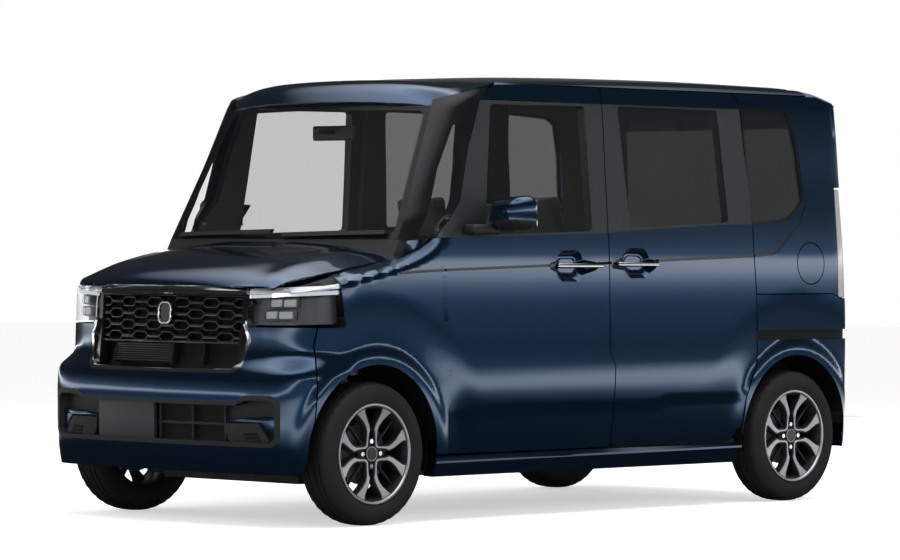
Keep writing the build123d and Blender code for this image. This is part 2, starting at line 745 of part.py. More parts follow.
with BuildPart() as grille:
    add(nose_form(MESH_FRONT) - nose_form(WEB_BACK))
    add(grille_opening & block(-800, 800, -1800, -1400, 100, LAMP_TOP_Z - 1), mode=Mode.INTERSECT)
    add((nose_form(CRATE_FRONT) - nose_form(WEB_BACK)) & lower_opening)
    add(pockets, mode=Mode.SUBTRACT)
    for cut in liner_space:
        add(cut, mode=Mode.SUBTRACT)
save(grille.part, "grille")

PLATE_X = -176
PLATE_Z = 396
PLATE_BOLT_SPACING = 210
PLATE_BOLT_Z = 60  # the holes lie this far above the plate's middle
with BuildPart() as plate_bracket:
    with BuildSketch(across(-1668)):
        with Locations((PLATE_X, PLATE_Z)):
            RectangleRounded(336, 166, 8)
        with Locations((PLATE_X, PLATE_Z + PLATE_BOLT_Z)):
            with GridLocations(PLATE_BOLT_SPACING, 1, 2, 1):
                Circle(3.5, mode=Mode.SUBTRACT)
    extrude(amount=25)
save(plate_bracket.part, "plate_bracket")

# A bar across the top, a channel round the mouth and a blank badge
MOUTH_HALF = ((437, 790), (437, 771), (469, 722), (440, 610), (400, 585))
mouth_points = MOUTH_HALF + tuple((-x, z) for x, z in reversed(MOUTH_HALF))
mouth_band = outline(mouth_points, -SEAT_GAP) - outline(mouth_points, -19)
with BuildPart() as grille_trim:
    with BuildSketch(across(-1500)):
        with Locations((0, 908)):
            Rectangle(860, 31)
        add(mouth_band & Pos(0, 685) * Rectangle(1000, 190))
        with Locations((0, EMBLEM_Z)):
            RectangleRounded(72, 84, 18)
    extrude(amount=300)
    add(outer_nose - nose_form(MESH_FRONT - SEAT_GAP), mode=Mode.INTERSECT)
save(grille_trim.part, "grille_trim")

COWL_FOOT_Z = 960
BULKHEAD_Y = -1046
with BuildPart() as cowl:
    add(screen_body(0) - screen_body(40))
    add(block(-655, 655, -1300, -900, COWL_FOOT_Z, 1102), mode=Mode.INTERSECT)
    add(screen_body(0) & block(-600, 600, -1200, BULKHEAD_Y, COWL_FOOT_Z, COWL_FOOT_Z + 12))
    add(block(-600, 600, BULKHEAD_Y - 14, BULKHEAD_Y, 650, COWL_FOOT_Z + 12))
    add(block(-290, 290, BULKHEAD_Y - 14, BULKHEAD_Y, 290, 650))
    add(block(-385, 385, BULKHEAD_Y - 14, BULKHEAD_Y, 292, 650))
    add(block(-290, 290, BULKHEAD_Y - 14, BULKHEAD_Y, FLOOR_Z, 290))
    add(block(-290, 290, BULKHEAD_Y, -984.3, FLOOR_Z, FLOOR_Z + 14))
save(cowl.part, "cowl")

# ---------------------------------------------------------------- sills, floor and arch liners
SILL_FRONT_Y = -858
SILL_REAR_Y = 962
with BuildPart() as side_sills:
    with BuildSketch(across(SILL_REAR_Y)):
        with BuildLine():
            Polyline(
                (PILLAR_OUTER_X + SEAT_GAP, 176),
                (690, 174),
                (706, 226),
                (712, 232),
                (708, 259),
                (PILLAR_OUTER_X + SEAT_GAP, 259),
                close=True,
            )
        make_face()
    extrude(amount=SILL_REAR_Y - SILL_FRONT_Y)
    add(plan_slab(((700, -300), (711, -300), (724, 880), (722, SILL_REAR_Y), (700, SILL_REAR_Y)), 236, 254))
    mirror(about=Plane.YZ)
save(side_sills.part, "side_sills")

REAR_FLOOR_Z = 430
REAR_FLOOR_Y = 560
RAIL_BEAM_X = 330
with BuildPart() as floor_pan:
    add(block(-574.5, 574.5, -984, REAR_FLOOR_Y + FLOOR_WALL, FLOOR_Z - FLOOR_WALL, FLOOR_Z))
    add(block(-574.5, 574.5, REAR_FLOOR_Y, REAR_FLOOR_Y + FLOOR_WALL, FLOOR_Z - FLOOR_WALL, REAR_FLOOR_Z))
    add(block(-574.5, 574.5, REAR_FLOOR_Y, 1640, REAR_FLOOR_Z - FLOOR_WALL, REAR_FLOOR_Z))
    for x in (-RAIL_BEAM_X, RAIL_BEAM_X):
        add(block(x - 35, x + 35, -984, 540, FLOOR_Z - 75, FLOOR_Z - FLOOR_WALL))
        add(block(x - 35, x + 35, -1040, -984, FLOOR_Z - 75, 286))
        add(block(x - 35, x + 35, -1560, -984, 216, 286))
    for side, _ in SIDES:
        add(
            cross_rod(ARCH_RADIUS + 14, side * (REAR_HOUSE_INNER_X - 6), side * 800, REAR_AXLE_Y, arch_z),
            mode=Mode.SUBTRACT,
        )
        add(
            cross_rod(ARCH_RADIUS + 14, side * (WHEEL_HOUSE_INNER_X - 6), side * 800, FRONT_AXLE_Y, arch_z),
            mode=Mode.SUBTRACT,
        )
save(floor_pan.part, "floor_pan")

with BuildPart() as arch_liners:
    for axle_y, inner_x, outer_x in (
        (FRONT_AXLE_Y, WHEEL_HOUSE_INNER_X, 681),
        (REAR_AXLE_Y, REAR_HOUSE_INNER_X, 606),
    ):
        add(cross_rod(ARCH_RADIUS + 8, inner_x - 4, outer_x, axle_y, arch_z))
        add(cross_rod(ARCH_RADIUS + 4, inner_x, 800, axle_y, arch_z), mode=Mode.SUBTRACT)
    add(block(300, 800, -2000, 2000, -200, 200), mode=Mode.SUBTRACT)
    add(block(672, 800, -2000, 0, -200, 460), mode=Mode.SUBTRACT)
    add(block(600, 800, 0, 2000, -200, 460), mode=Mode.SUBTRACT)
    add(Pos(KINGPIN_X, FRONT_AXLE_Y, 600) * Cylinder(62, 200, mode=Mode.PRIVATE), mode=Mode.SUBTRACT)
    add(cross_rod(46, 500, 540, REAR_AXLE_Y, TYRE_RADIUS), mode=Mode.SUBTRACT)
    mirror(about=Plane.YZ)
save(arch_liners.part, "arch_liners")

# ---------------------------------------------------------------- cabin
STEERING_X = -330
STEERING_Y = -530
STEERING_Z = 900
STEERING_RAKE = 24
steering_plane = Plane(
    origin=(STEERING_X, STEERING_Y, STEERING_Z),
    x_dir=(1, 0, 0),
    z_dir=(0, cos(radians(STEERING_RAKE)), sin(radians(STEERING_RAKE))),
)
with BuildPart() as dashboard:
    add(inner_cabin & block(-574, 574, -970, -640, 760, 1085))
    add(screen_body(60), mode=Mode.INTERSECT)
    add(steering_plane.location * Cylinder(27, 400, mode=Mode.PRIVATE), mode=Mode.SUBTRACT)
save(dashboard.part, "dashboard")

SEATS = ((330, -250), (-330, -250))
with BuildPart() as front_seats:
    for x, y in SEATS:
        add(block(x - 235, x + 235, y - 260, y + 240, FLOOR_Z, 600))
        add(Pos(x, y + 300, 830) * Rot(-12, 0, 0) * block(-235, 235, -55, 55, -280, 280))
        add(Pos(x, y + 375, 1200) * Rot(-12, 0, 0) * block(-125, 125, -45, 45, -90, 90))
        for post in (-60, 60):
            add(Pos(x + post, y + 358, 1118) * Rot(-12, 0, 0) * block(-6, 6, -6, 6, -40, 40))
save(front_seats.part, "front_seats")

with BuildPart() as rear_seat:
    add(block(-510, 510, 560, 1040, REAR_FLOOR_Z, 600))
    add(Pos(0, 1090, 860) * Rot(-14, 0, 0) * block(-510, 510, -55, 55, -280, 280))
save(rear_seat.part, "rear_seat")

with BuildPart() as engine:
    add(block(-290, 260, -1520, -1080, 330, 860))
    for x in (-RAIL_BEAM_X, RAIL_BEAM_X - 70):
        add(block(x, x + 70, -1400, -1340, 286 + SEAT_GAP, 340))
save(engine.part, "engine")

with BuildPart() as steering_wheel:
    with BuildSketch(Plane.XZ):
        with Locations((172, 0)):
            Circle(15)
    revolve(axis=Axis.Z)
    with BuildSketch(Plane.XY):
        Rectangle(344, 34)
        with Locations((0, -86)):
            Rectangle(34, 172)
        Circle(62)
    extrude(amount=10, both=True)
    with BuildSketch(Plane.XY.offset(-10)):
        Circle(24)
    extrude(amount=-90)
save(steering_plane.location * steering_wheel.part, "steering_wheel")

with BuildPart() as inner_mirror:
    add(block(-120, 120, -735, -715, 1500, 1560))
    add(screen_body(4 + GLASS + SEAT_GAP) & block(-12, 12, -900, -735, 1525, 1545))
save(inner_mirror.part, "inner_mirror")

WIPERS = ((-575, 1112, 20, 1126), (90, 1112, 590, 1124))
with BuildPart() as wipers:
    add(screen_body(-12) - screen_body(4 - SEAT_GAP))
    with BuildPart(mode=Mode.INTERSECT):
        with BuildSketch(across(-1300)):
            for x_from, z_from, x_to, z_to in WIPERS:
                with BuildLine():
                    Polyline((x_from, z_from), (x_to, z_to), (x_to, z_to + 16), (x_from, z_from + 16), close=True)
                make_face()
        extrude(amount=-500)
save(wipers.part, "wipers")

# ---------------------------------------------------------------- wheels
with BuildPart() as tyre:
    with BuildSketch(Plane.XZ):
        with BuildLine():
            Polyline(
                (-65.7, BEAD_RADIUS),
                (-65.7, RIM_LIP_RADIUS + 1),
                (-77.5, 226),
                (-70, 266),
                (-58, TYRE_RADIUS - 3),
                (0, TYRE_RADIUS),
                (58, TYRE_RADIUS - 3),
                (70, 266),
                (77.5, 226),
                (65.7, RIM_LIP_RADIUS + 1),
                (65.7, BEAD_RADIUS),
                close=True,
            )
        make_face()
    revolve(axis=Axis.X)

with BuildPart() as rim:
    with BuildSketch(Plane.XZ):
        with BuildLine():
            Polyline(
                (-RIM_WIDTH / 2, RIM_LIP_RADIUS),
                (-RIM_WIDTH / 2, RIM_LIP_RADIUS - 10),
                (-69, BEAD_RADIUS - 1),
                (-58, BEAD_RADIUS - RIM_WALL - 2),
                (58, BEAD_RADIUS - RIM_WALL - 2),
                (69, BEAD_RADIUS - 1),
                (RIM_WIDTH / 2, RIM_LIP_RADIUS - 10),
                (RIM_WIDTH / 2, RIM_LIP_RADIUS),
                (66, RIM_LIP_RADIUS),
                (66, BEAD_RADIUS - SEAT_GAP),
                (-66, BEAD_RADIUS - SEAT_GAP),
                (-66, RIM_LIP_RADIUS),
                close=True,
            )
        make_face()
    revolve(axis=Axis.X)
    with BuildSketch(Plane.YZ.offset(44)):
        Circle(HUB_RADIUS)
        for quarter in range(4):
            for sign in (1, -1):
                with Locations(Rot(0, 0, 45 + 90 * quarter + sign * SPOKE_PAIR_ANGLE)):
                    add(outline(((50, -16), (SPOKE_END_RADIUS, -10), (SPOKE_END_RADIUS, 10), (50, 16))))
    extrude(amount=22)
    with BuildSketch(Plane.YZ.offset(40)):
        for eighth in range(8):
            with Locations(Rot(0, 0, 45 * eighth)):
                add(outline(((50, -7), (SPOKE_END_RADIUS, -5), (SPOKE_END_RADIUS, 5), (50, 7))))
    extrude(amount=14)
    with BuildSketch(Plane.YZ.offset(-30)):
        Circle(HUB_RADIUS - 6)
    extrude(amount=74)
    with BuildSketch(Plane.YZ.offset(-30)):
        Circle(DISC_RADIUS)
    extrude(amount=DISC_THICKNESS)

for axle_y, axle in ((FRONT_AXLE_Y, "front"), (REAR_AXLE_Y, "rear")):
    for side, side_name in SIDES:
        hub = Pos(side * TRACK / 2, axle_y, TYRE_RADIUS)
        turn = Rot(0, 0, 0 if side == 1 else 180)
        save(hub * turn * tyre.part, f"tyre_{axle}_{side_name}")
        save(hub * turn * rim.part, f"wheel_{axle}_{side_name}")

# ---------------------------------------------------------------- axles and steering
DAMPER_X = 545
SPRING_FOOT_Z = 578
SPRING_TOP_Z = 800
BALL_JOINT_Z = 172
HUB_BACK_X = TRACK / 2 - 30 - SEAT_GAP
knuckle_solid = (
    cross_rod(40, DAMPER_X, HUB_BACK_X, FRONT_AXLE_Y, TYRE_RADIUS)
    + block(DAMPER_X - 22, DAMPER_X + 20, FRONT_AXLE_Y - 24, FRONT_AXLE_Y + 24, BALL_JOINT_Z + 13, 420)
    + Pos(DAMPER_X, FRONT_AXLE_Y, 480) * Cylinder(20, 220)
    + Pos(KINGPIN_X, FRONT_AXLE_Y, (SPRING_FOOT_Z + SPRING_TOP_Z) / 2)
    * Cylinder(50, SPRING_TOP_Z - SPRING_FOOT_Z)
)
for side, side_name in SIDES:
    save(handed(knuckle_solid, side), f"knuckle_{side_name}")

with BuildPart() as front_suspension:
    add(block(-385, 385, -1290, -1090, 150, 215.7))
    for side, _ in SIDES:
        add(block(*sorted((side * 380, side * 553)), FRONT_AXLE_Y - 22, FRONT_AXLE_Y + 22, 160, 184.7))
save(front_suspension.part, "front_suspension")

BEAM_Y = REAR_AXLE_Y - 140
with BuildPart() as rear_suspension:
    add(cross_rod(34, -460, 460, BEAM_Y, TYRE_RADIUS))
    for side, _ in SIDES:
        add(block(*sorted((side * 440, side * 500)), REAR_AXLE_Y - 420, REAR_AXLE_Y + 40, 245, 310))
        add(cross_rod(30, side * 440, side * (TRACK / 2 - 30 - SEAT_GAP), REAR_AXLE_Y, TYRE_RADIUS))
        with Locations((side * 450, REAR_AXLE_Y - 90, (300 + REAR_FLOOR_Z - FLOOR_WALL - SEAT_GAP) / 2)):
            Cylinder(45, REAR_FLOOR_Z - FLOOR_WALL - SEAT_GAP - 300)
save(rear_suspension.part, "rear_suspension")

with BuildPart() as exhaust:
    with Locations((-300, 1480, 245)):
        Box(260, 150, 110)
    add(block(-290, -254, -1060, 1410, 160, 196))
    add(block(-290, -254, 1330, 1410, 160, 260))
    add(block(-300, -290, 1440, 1460, 298, 399.7))
save(exhaust.part, "exhaust")

with BuildPart() as fuel_tank:
    add(block(-240, 260, -60, 530, 165, 204.7))
save(fuel_tank.part, "fuel_tank")
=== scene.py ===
# %% [markdown]
# # A tall one-box kei car
# The construction of the car comes in as a fixed frame: every panel, pillar, wheel and
# hinge already has its real size and place. Here the car gets its looks. The curved
# sheet-metal skin, the glass, the lamps, the wheels and the cabin are modelled as meshes
# that lie where the construction says, and each finish gets a material of its own.

from math import ceil, cos, hypot, pi, radians, sin

import bmesh
import bpy
import numpy as np
from mathutils import Matrix, Vector


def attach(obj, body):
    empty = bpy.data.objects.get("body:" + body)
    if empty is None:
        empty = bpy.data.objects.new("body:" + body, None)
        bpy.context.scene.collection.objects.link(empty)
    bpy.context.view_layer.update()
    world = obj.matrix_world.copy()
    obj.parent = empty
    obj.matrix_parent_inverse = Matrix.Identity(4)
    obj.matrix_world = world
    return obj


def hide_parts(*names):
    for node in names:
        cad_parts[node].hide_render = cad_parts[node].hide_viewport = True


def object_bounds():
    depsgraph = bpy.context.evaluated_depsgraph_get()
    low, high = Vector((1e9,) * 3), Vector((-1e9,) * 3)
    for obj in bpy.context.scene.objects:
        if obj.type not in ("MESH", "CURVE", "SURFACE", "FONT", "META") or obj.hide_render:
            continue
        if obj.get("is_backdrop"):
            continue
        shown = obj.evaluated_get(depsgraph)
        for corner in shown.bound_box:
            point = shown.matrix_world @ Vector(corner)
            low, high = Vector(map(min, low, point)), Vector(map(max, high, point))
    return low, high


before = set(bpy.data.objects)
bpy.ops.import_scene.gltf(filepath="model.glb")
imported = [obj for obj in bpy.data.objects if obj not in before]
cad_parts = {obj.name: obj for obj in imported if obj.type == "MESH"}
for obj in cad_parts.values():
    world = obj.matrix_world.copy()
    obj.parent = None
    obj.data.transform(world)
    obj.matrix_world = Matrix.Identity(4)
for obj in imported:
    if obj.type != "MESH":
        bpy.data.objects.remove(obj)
cad_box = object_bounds()
MM = 0.001
HAND = {1: "left", -1: "right"}  # the sides of the car by the sign of X

# %% [markdown]
# ## The studio
# A car in a studio is lit by large soft boxes, and its paint shows them as long pale
# bands. The floor and the backdrop are pale. The camera stands far away with a long
# lens, a little above the car's waist, so that the car keeps its true proportions.

# %% Camera
CAMERA_AZIMUTH = radians(44.026)
CAMERA_ELEVATION = radians(0.51)
CAMERA_ROLL = radians(0.299)
CAMERA_TARGET = Vector((0, 0, 0.9))
CAMERA_OFFSET = Vector((-0.034812, 0.036092, 18.40202))
LENS_MM = 177.31
SENSOR_MM = 36
SEES_TO = 100  # metres

back = Vector((
    sin(CAMERA_AZIMUTH) * cos(CAMERA_ELEVATION),
    -cos(CAMERA_AZIMUTH) * cos(CAMERA_ELEVATION),
    sin(CAMERA_ELEVATION),
))
level = Vector((cos(CAMERA_AZIMUTH), sin(CAMERA_AZIMUTH), 0))
upright = back.cross(level)
right = cos(CAMERA_ROLL) * level + sin(CAMERA_ROLL) * upright
up = cos(CAMERA_ROLL) * upright - sin(CAMERA_ROLL) * level
turn = Matrix((right, up, back)).transposed()
camera = bpy.data.objects.new("camera", bpy.data.cameras.new("camera"))
camera.data.lens = LENS_MM
camera.data.sensor_width = SENSOR_MM
camera.data.clip_end = SEES_TO
camera.matrix_world = Matrix.Translation(CAMERA_TARGET + turn @ CAMERA_OFFSET) @ turn.to_4x4()
bpy.context.collection.objects.link(camera)
bpy.context.scene.camera = camera
bpy.context.scene.view_settings.view_transform = "Standard"
print("camera stands", round((camera.location - CAMERA_TARGET).length, 2), "m away")

# %% Soft boxes
# Each lamp: its place, the point that it aims at, its width and height, and its watts
SOFT_BOXES = {
    "overhead_box": ((1.5, -0.5, 5.2), (0, 0, 0.8), 6.5, 3.2, 260),
    "flank_box": ((7.5, 0.5, 2.9), (0, 0.2, 0.9), 6.0, 1.6, 170),
    "nose_box": ((1.5, -7.5, 3.0), (0, -1.2, 0.8), 4.5, 1.8, 130),
    "far_flank_box": ((-7.5, -0.5, 3.2), (0, 0, 0.9), 6.0, 1.8, 110),
    "tail_box": ((-0.5, 7.5, 3.2), (0, 1.2, 0.9), 4.5, 1.8, 110),
}
for name, (place, aim, width, height, watts) in SOFT_BOXES.items():
    lamp = bpy.data.lights.new(name, "AREA")
    lamp.shape = "RECTANGLE"
    lamp.size, lamp.size_y, lamp.energy = width, height, watts
    box = bpy.data.objects.new(name, lamp)
    box.location = place
    box.rotation_euler = (Vector(aim) - Vector(place)).to_track_quat("-Z", "Y").to_euler()
    box.visible_glossy = False
    bpy.context.collection.objects.link(box)


# %% Tools for node trees
def add_node(tree, kind, settings=(), **values):
    """A node with its properties set by settings and its input sockets by values."""
    node = tree.nodes.new(kind)
    for key, value in dict(settings).items():
        setattr(node, key, value)
    for key, value in values.items():
        node.inputs[key.replace("_", " ")].default_value = value
    return node


def wire(tree, *wires):
    """Join sockets; each wire names a node and its output, then a node and its input."""
    for source, output, target, entry in wires:
        tree.links.new(source.outputs[output], target.inputs[entry])


def ramp(tree, stops, blueness=1.0):
    """A colour ramp through greys at (place, brightness) stops."""
    node = add_node(tree, "ShaderNodeValToRGB")
    elements = node.color_ramp.elements
    for i, (place, value) in enumerate(stops):
        last = i == len(stops) - 1
        stop = elements[0] if i == 0 else elements[-1] if last else elements.new(place)
        stop.position = place
        stop.color = (value, value, value * blueness, 1)
    return node


WHITE = (1, 1, 1, 1)
print("node tools are ready")

# %% What lights the car and what its paint mirrors
# The camera and the glass see a white sky. The paint mirrors one of narrow bright bands
# at certain heights, from straight down (0) over the horizon (0.5) to overhead (1).
WORLD_LIGHT = 0.55
MIRRORED_LIGHT = 3.0
SKY_BLUENESS = 1.02
HEIGHT_BANDS = (
    (0.0, 0.02), (0.50, 0.004), (0.5068, 0.008), (0.5130, 0.35), (0.5170, 1.0), (0.5240, 0.9),
    (0.5310, 0.10), (0.550, 0.03), (0.60, 0.008), (0.80, 0.012), (0.86, 0.35), (0.93, 0.75),
    (1.0, 0.35),
)
world = bpy.data.worlds.new("studio")
world.use_nodes = True
bpy.context.scene.world = world
tree = world.node_tree
tree.nodes.clear()
rays = add_node(tree, "ShaderNodeLightPath")
heading = add_node(tree, "ShaderNodeTexCoord")
height = add_node(tree, "ShaderNodeSeparateXYZ")
to_ramp = add_node(tree, "ShaderNodeMapRange", From_Min=-1)
bands = ramp(tree, HEIGHT_BANDS, SKY_BLUENESS)
ambient = add_node(tree, "ShaderNodeBackground", Strength=WORLD_LIGHT)
mirrored_sky = add_node(tree, "ShaderNodeBackground", Strength=MIRRORED_LIGHT)
white_sky = add_node(tree, "ShaderNodeBackground", Color=WHITE)
lit_or_mirrored = add_node(tree, "ShaderNodeMixShader")
seen_or_through = add_node(tree, "ShaderNodeMath", {"operation": "MAXIMUM"})
sky = add_node(tree, "ShaderNodeMixShader")
wire(
    tree,
    (heading, "Generated", height, 0),
    (height, "Z", to_ramp, "Value"),
    (to_ramp, "Result", bands, "Fac"),
    (bands, "Color", mirrored_sky, "Color"),
    (rays, "Is Glossy Ray", lit_or_mirrored, "Fac"),
    (ambient, 0, lit_or_mirrored, 1),
    (mirrored_sky, 0, lit_or_mirrored, 2),
    (rays, "Is Camera Ray", seen_or_through, 0),
    (rays, "Is Transmission Ray", seen_or_through, 1),
    (seen_or_through, 0, sky, "Fac"),
    (lit_or_mirrored, 0, sky, 1),
    (white_sky, 0, sky, 2),
    (sky, 0, add_node(tree, "ShaderNodeOutputWorld"), "Surface"),
)
print("bands in the mirrored sky:", len(HEIGHT_BANDS))

# %% Floor
# The camera sees a white floor. The paint mirrors a floor of painted light: dark near the car,
# a painted shadow of the car, and dark far away, with a painted bright ring between that
# stands for the light boxes that a studio floor shows.
FLOOR_RADIUS = 40
FLOOR_SEGMENTS = 96
FLOOR_GREY = (0.86, 0.86, 0.86, 1)
FLOOR_ROUGHNESS, FLOOR_SHEEN = 0.7, 0.1
FLOOR_GLOW = 0.55
# Painted brightness of the mirrored floor: a painted shadow of the car near it, a painted glow of
# the light boxes in the ring
PAINTED_FLOOR_RING = (  # metres from the car, brightness
    (0, 0.004), (3.6, 0.006), (4.6, 0.10), (6.2, 0.62), (8.0, 0.70), (11, 0.25), (15, 0.02),
    (FLOOR_RADIUS, 0.004),
)
floor_mesh = bpy.data.meshes.new("floor")
bm = bmesh.new()
bmesh.ops.create_circle(bm, cap_ends=True, segments=FLOOR_SEGMENTS, radius=FLOOR_RADIUS)
bm.to_mesh(floor_mesh)
bm.free()
floor = bpy.data.objects.new("floor", floor_mesh)
bpy.context.collection.objects.link(floor)
floor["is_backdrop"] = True
floor_paint = bpy.data.materials.new("floor_paint")
floor_paint.use_nodes = True
tree = floor_paint.node_tree
shader = tree.nodes["Principled BSDF"]
for socket, value in (
    ("Base Color", FLOOR_GREY), ("Roughness", FLOOR_ROUGHNESS),
    ("Specular IOR Level", FLOOR_SHEEN),
    ("Emission Color", WHITE),
):
    shader.inputs[socket].default_value = value
rays = add_node(tree, "ShaderNodeLightPath")
spot = add_node(tree, "ShaderNodeTexCoord")
reach = add_node(tree, "ShaderNodeVectorMath", {"operation": "LENGTH"})
share = add_node(tree, "ShaderNodeMath", {"operation": "DIVIDE"})
share.inputs[1].default_value = FLOOR_RADIUS
ring = ramp(tree, [(place / FLOOR_RADIUS, value) for place, value in PAINTED_FLOOR_RING])
# An emission that only the paint's reflections see: painted light and painted shadow on the floor
painted_floor_light = add_node(tree, "ShaderNodeEmission", Strength=MIRRORED_LIGHT)
glow = add_node(tree, "ShaderNodeMath", {"operation": "MULTIPLY"})
glow.inputs[1].default_value = FLOOR_GLOW
lit_or_mirrored = add_node(tree, "ShaderNodeMixShader")
wire(
    tree,
    (spot, "Object", reach, 0),
    (reach, "Value", share, 0),
    (share, 0, ring, "Fac"),
    (ring, "Color", painted_floor_light, "Color"),
    (rays, "Is Camera Ray", glow, 0),
    (glow, 0, shader, "Emission Strength"),
    (rays, "Is Glossy Ray", lit_or_mirrored, "Fac"),
    (shader, 0, lit_or_mirrored, 1),
    (painted_floor_light, 0, lit_or_mirrored, 2),
    (lit_or_mirrored, 0, tree.nodes["Material Output"], "Surface"),
)
floor_mesh.materials.append(floor_paint)
print("floor radius:", FLOOR_RADIUS, "m")

# %% [markdown]
# ## Finishes
# The paint is a dark pearl: a nearly black blue under clear lacquer, with fine flakes
# that catch the light. The trims are moulded plastic with a fine grain, the tyres are
# dull rubber, and the wheels are machined aluminium over dark paint. Effects that more
# than one finish needs are node groups.


# %% Shared shader groups
def shader_group(name, inputs, outputs):
    """An empty shader node group with named sockets, and its input and output nodes."""
    group = bpy.data.node_groups.new(name, "ShaderNodeTree")
    for label, kind, value in inputs:
        socket = group.interface.new_socket(label, in_out="INPUT", socket_type=kind)
        socket.default_value = value
    for label, kind in outputs:
        group.interface.new_socket(label, in_out="OUTPUT", socket_type=kind)
    return group, group.nodes.new("NodeGroupInput"), group.nodes.new("NodeGroupOutput")


def blend_colours(group, enter, first, second, leave):
    """A mix of two of the group's colours, sent to its Colour output; returns the node."""
    tint = add_node(group, "ShaderNodeMix", {"data_type": "RGBA"})
    wire(
        group,
        (enter, first, tint, MIX_A),
        (enter, second, tint, MIX_B),
        (tint, MIX_RESULT, leave, "Colour"),
    )
    return tint


FLOAT, COLOUR = "NodeSocketFloat", "NodeSocketColor"
MIX_A, MIX_B, MIX_RESULT = 6, 7, 2  # the colour sockets of a Mix node

# Flakes: small cells, of which the brightest take the colour of the glint
flake, enter, leave = shader_group(
    "flake",
    [("Colour", COLOUR, (0.01, 0.03, 0.08, 1)), ("Glint", COLOUR, (0.05, 0.12, 0.25, 1)),
     ("Scale", FLOAT, 900.0)],
    [("Colour", COLOUR)],
)
where = add_node(flake, "ShaderNodeTexCoord")
cells = add_node(flake, "ShaderNodeTexVoronoi")
spread = add_node(
    flake, "ShaderNodeMapRange", From_Min=0.55, From_Max=1.0, To_Min=0.0, To_Max=0.5
)
tint = blend_colours(flake, enter, "Colour", "Glint", leave)
wire(
    flake,
    (where, "Object", cells, "Vector"),
    (enter, "Scale", cells, "Scale"),
    (cells, "Color", spread, "Value"),
    (spread, "Result", tint, 0),
)

# Grain: fine noise for the gloss and the relief, broad noise for where hands have rubbed
grain, enter, leave = shader_group(
    "grain",
    [("Colour", COLOUR, (0.02, 0.02, 0.02, 1)), ("Rubbed", COLOUR, (0.05, 0.05, 0.05, 1)),
     ("Scale", FLOAT, 600.0), ("Low", FLOAT, 0.4), ("High", FLOAT, 0.6)],
    [("Colour", COLOUR), ("Roughness", FLOAT), ("Height", FLOAT)],
)
where = add_node(grain, "ShaderNodeTexCoord")
fine = add_node(grain, "ShaderNodeTexNoise", Detail=3.0)
broad = add_node(grain, "ShaderNodeTexNoise", Scale=7.0, Detail=4.0)
worn = add_node(grain, "ShaderNodeMapRange", From_Min=0.5, From_Max=0.8, To_Max=0.6)
gloss = add_node(grain, "ShaderNodeMapRange", From_Min=0.35, From_Max=0.65)
tint = blend_colours(grain, enter, "Colour", "Rubbed", leave)
wire(
    grain,
    (where, "Object", fine, "Vector"),
    (enter, "Scale", fine, "Scale"),
    (where, "Object", broad, "Vector"),
    (broad, "Fac", worn, "Value"),
    (worn, "Result", tint, 0),
    (fine, "Fac", gloss, "Value"),
    (enter, "Low", gloss, "To Min"),
    (enter, "High", gloss, "To Max"),
    (gloss, "Result", leave, "Roughness"),
    (fine, "Fac", leave, "Height"),
)

# Weave: two crossed waves make the threads
weave, enter, leave = shader_group(
    "weave",
    [("Colour", COLOUR, (0.05, 0.05, 0.05, 1)), ("Thread", COLOUR, (0.1, 0.1, 0.1, 1)),
     ("Scale", FLOAT, 300.0)],
    [("Colour", COLOUR), ("Height", FLOAT)],
)
where = add_node(weave, "ShaderNodeTexCoord")
cross = add_node(weave, "ShaderNodeMath", {"operation": "MULTIPLY"})
tint = blend_colours(weave, enter, "Colour", "Thread", leave)
for entry, direction in enumerate("XZ"):
    wave = add_node(weave, "ShaderNodeTexWave", {"bands_direction": direction}, Distortion=0.6)
    wire(
        weave,
        (where, "Object", wave, "Vector"),
        (enter, "Scale", wave, "Scale"),
        (wave, "Fac", cross, entry),
    )
wire(weave, (cross, 0, tint, 0), (cross, 0, leave, "Height"))
print("shader groups:", [g.name for g in bpy.data.node_groups])

# %% Materials
FINE_RELIEF = 0.0004  # metres


def finish(name, slot, **sockets):
    """A new material; slot names one of the record's slots and is not used; sockets are the
    shader's own values.
    """
    material = bpy.data.materials.new(name)
    material.use_nodes = True
    shader = material.node_tree.nodes["Principled BSDF"]
    for key, value in sockets.items():
        shader.inputs[key.replace("_", " ")].default_value = value
    return material


def wire_group(material, group, wires, bump=0, **values):
    """Place a shader group in a material; wires go from its outputs to the shader's sockets."""
    tree = material.node_tree
    shader = tree.nodes["Principled BSDF"]
    placed = add_node(tree, "ShaderNodeGroup", {"node_tree": group}, **values)
    wire(tree, *[(placed, source, shader, target) for source, target in wires])
    if bump:
        relief = add_node(tree, "ShaderNodeBump", Strength=bump, Distance=FINE_RELIEF)
        wire(tree, (placed, "Height", relief, "Height"), (relief, "Normal", shader, "Normal"))
    return material


def moulded(name, slot, colour, rubbed, scale, low, high, bump, metallic):
    """A plastic, rubber or cast finish: the grain group with its own values."""
    material = finish(name, slot, Metallic=metallic)
    wires = (("Colour", "Base Color"), ("Roughness", "Roughness"))
    return wire_group(
        material, grain, wires, bump,
        Colour=(*colour, 1), Rubbed=(*rubbed, 1), Scale=scale, Low=low, High=high,
    )


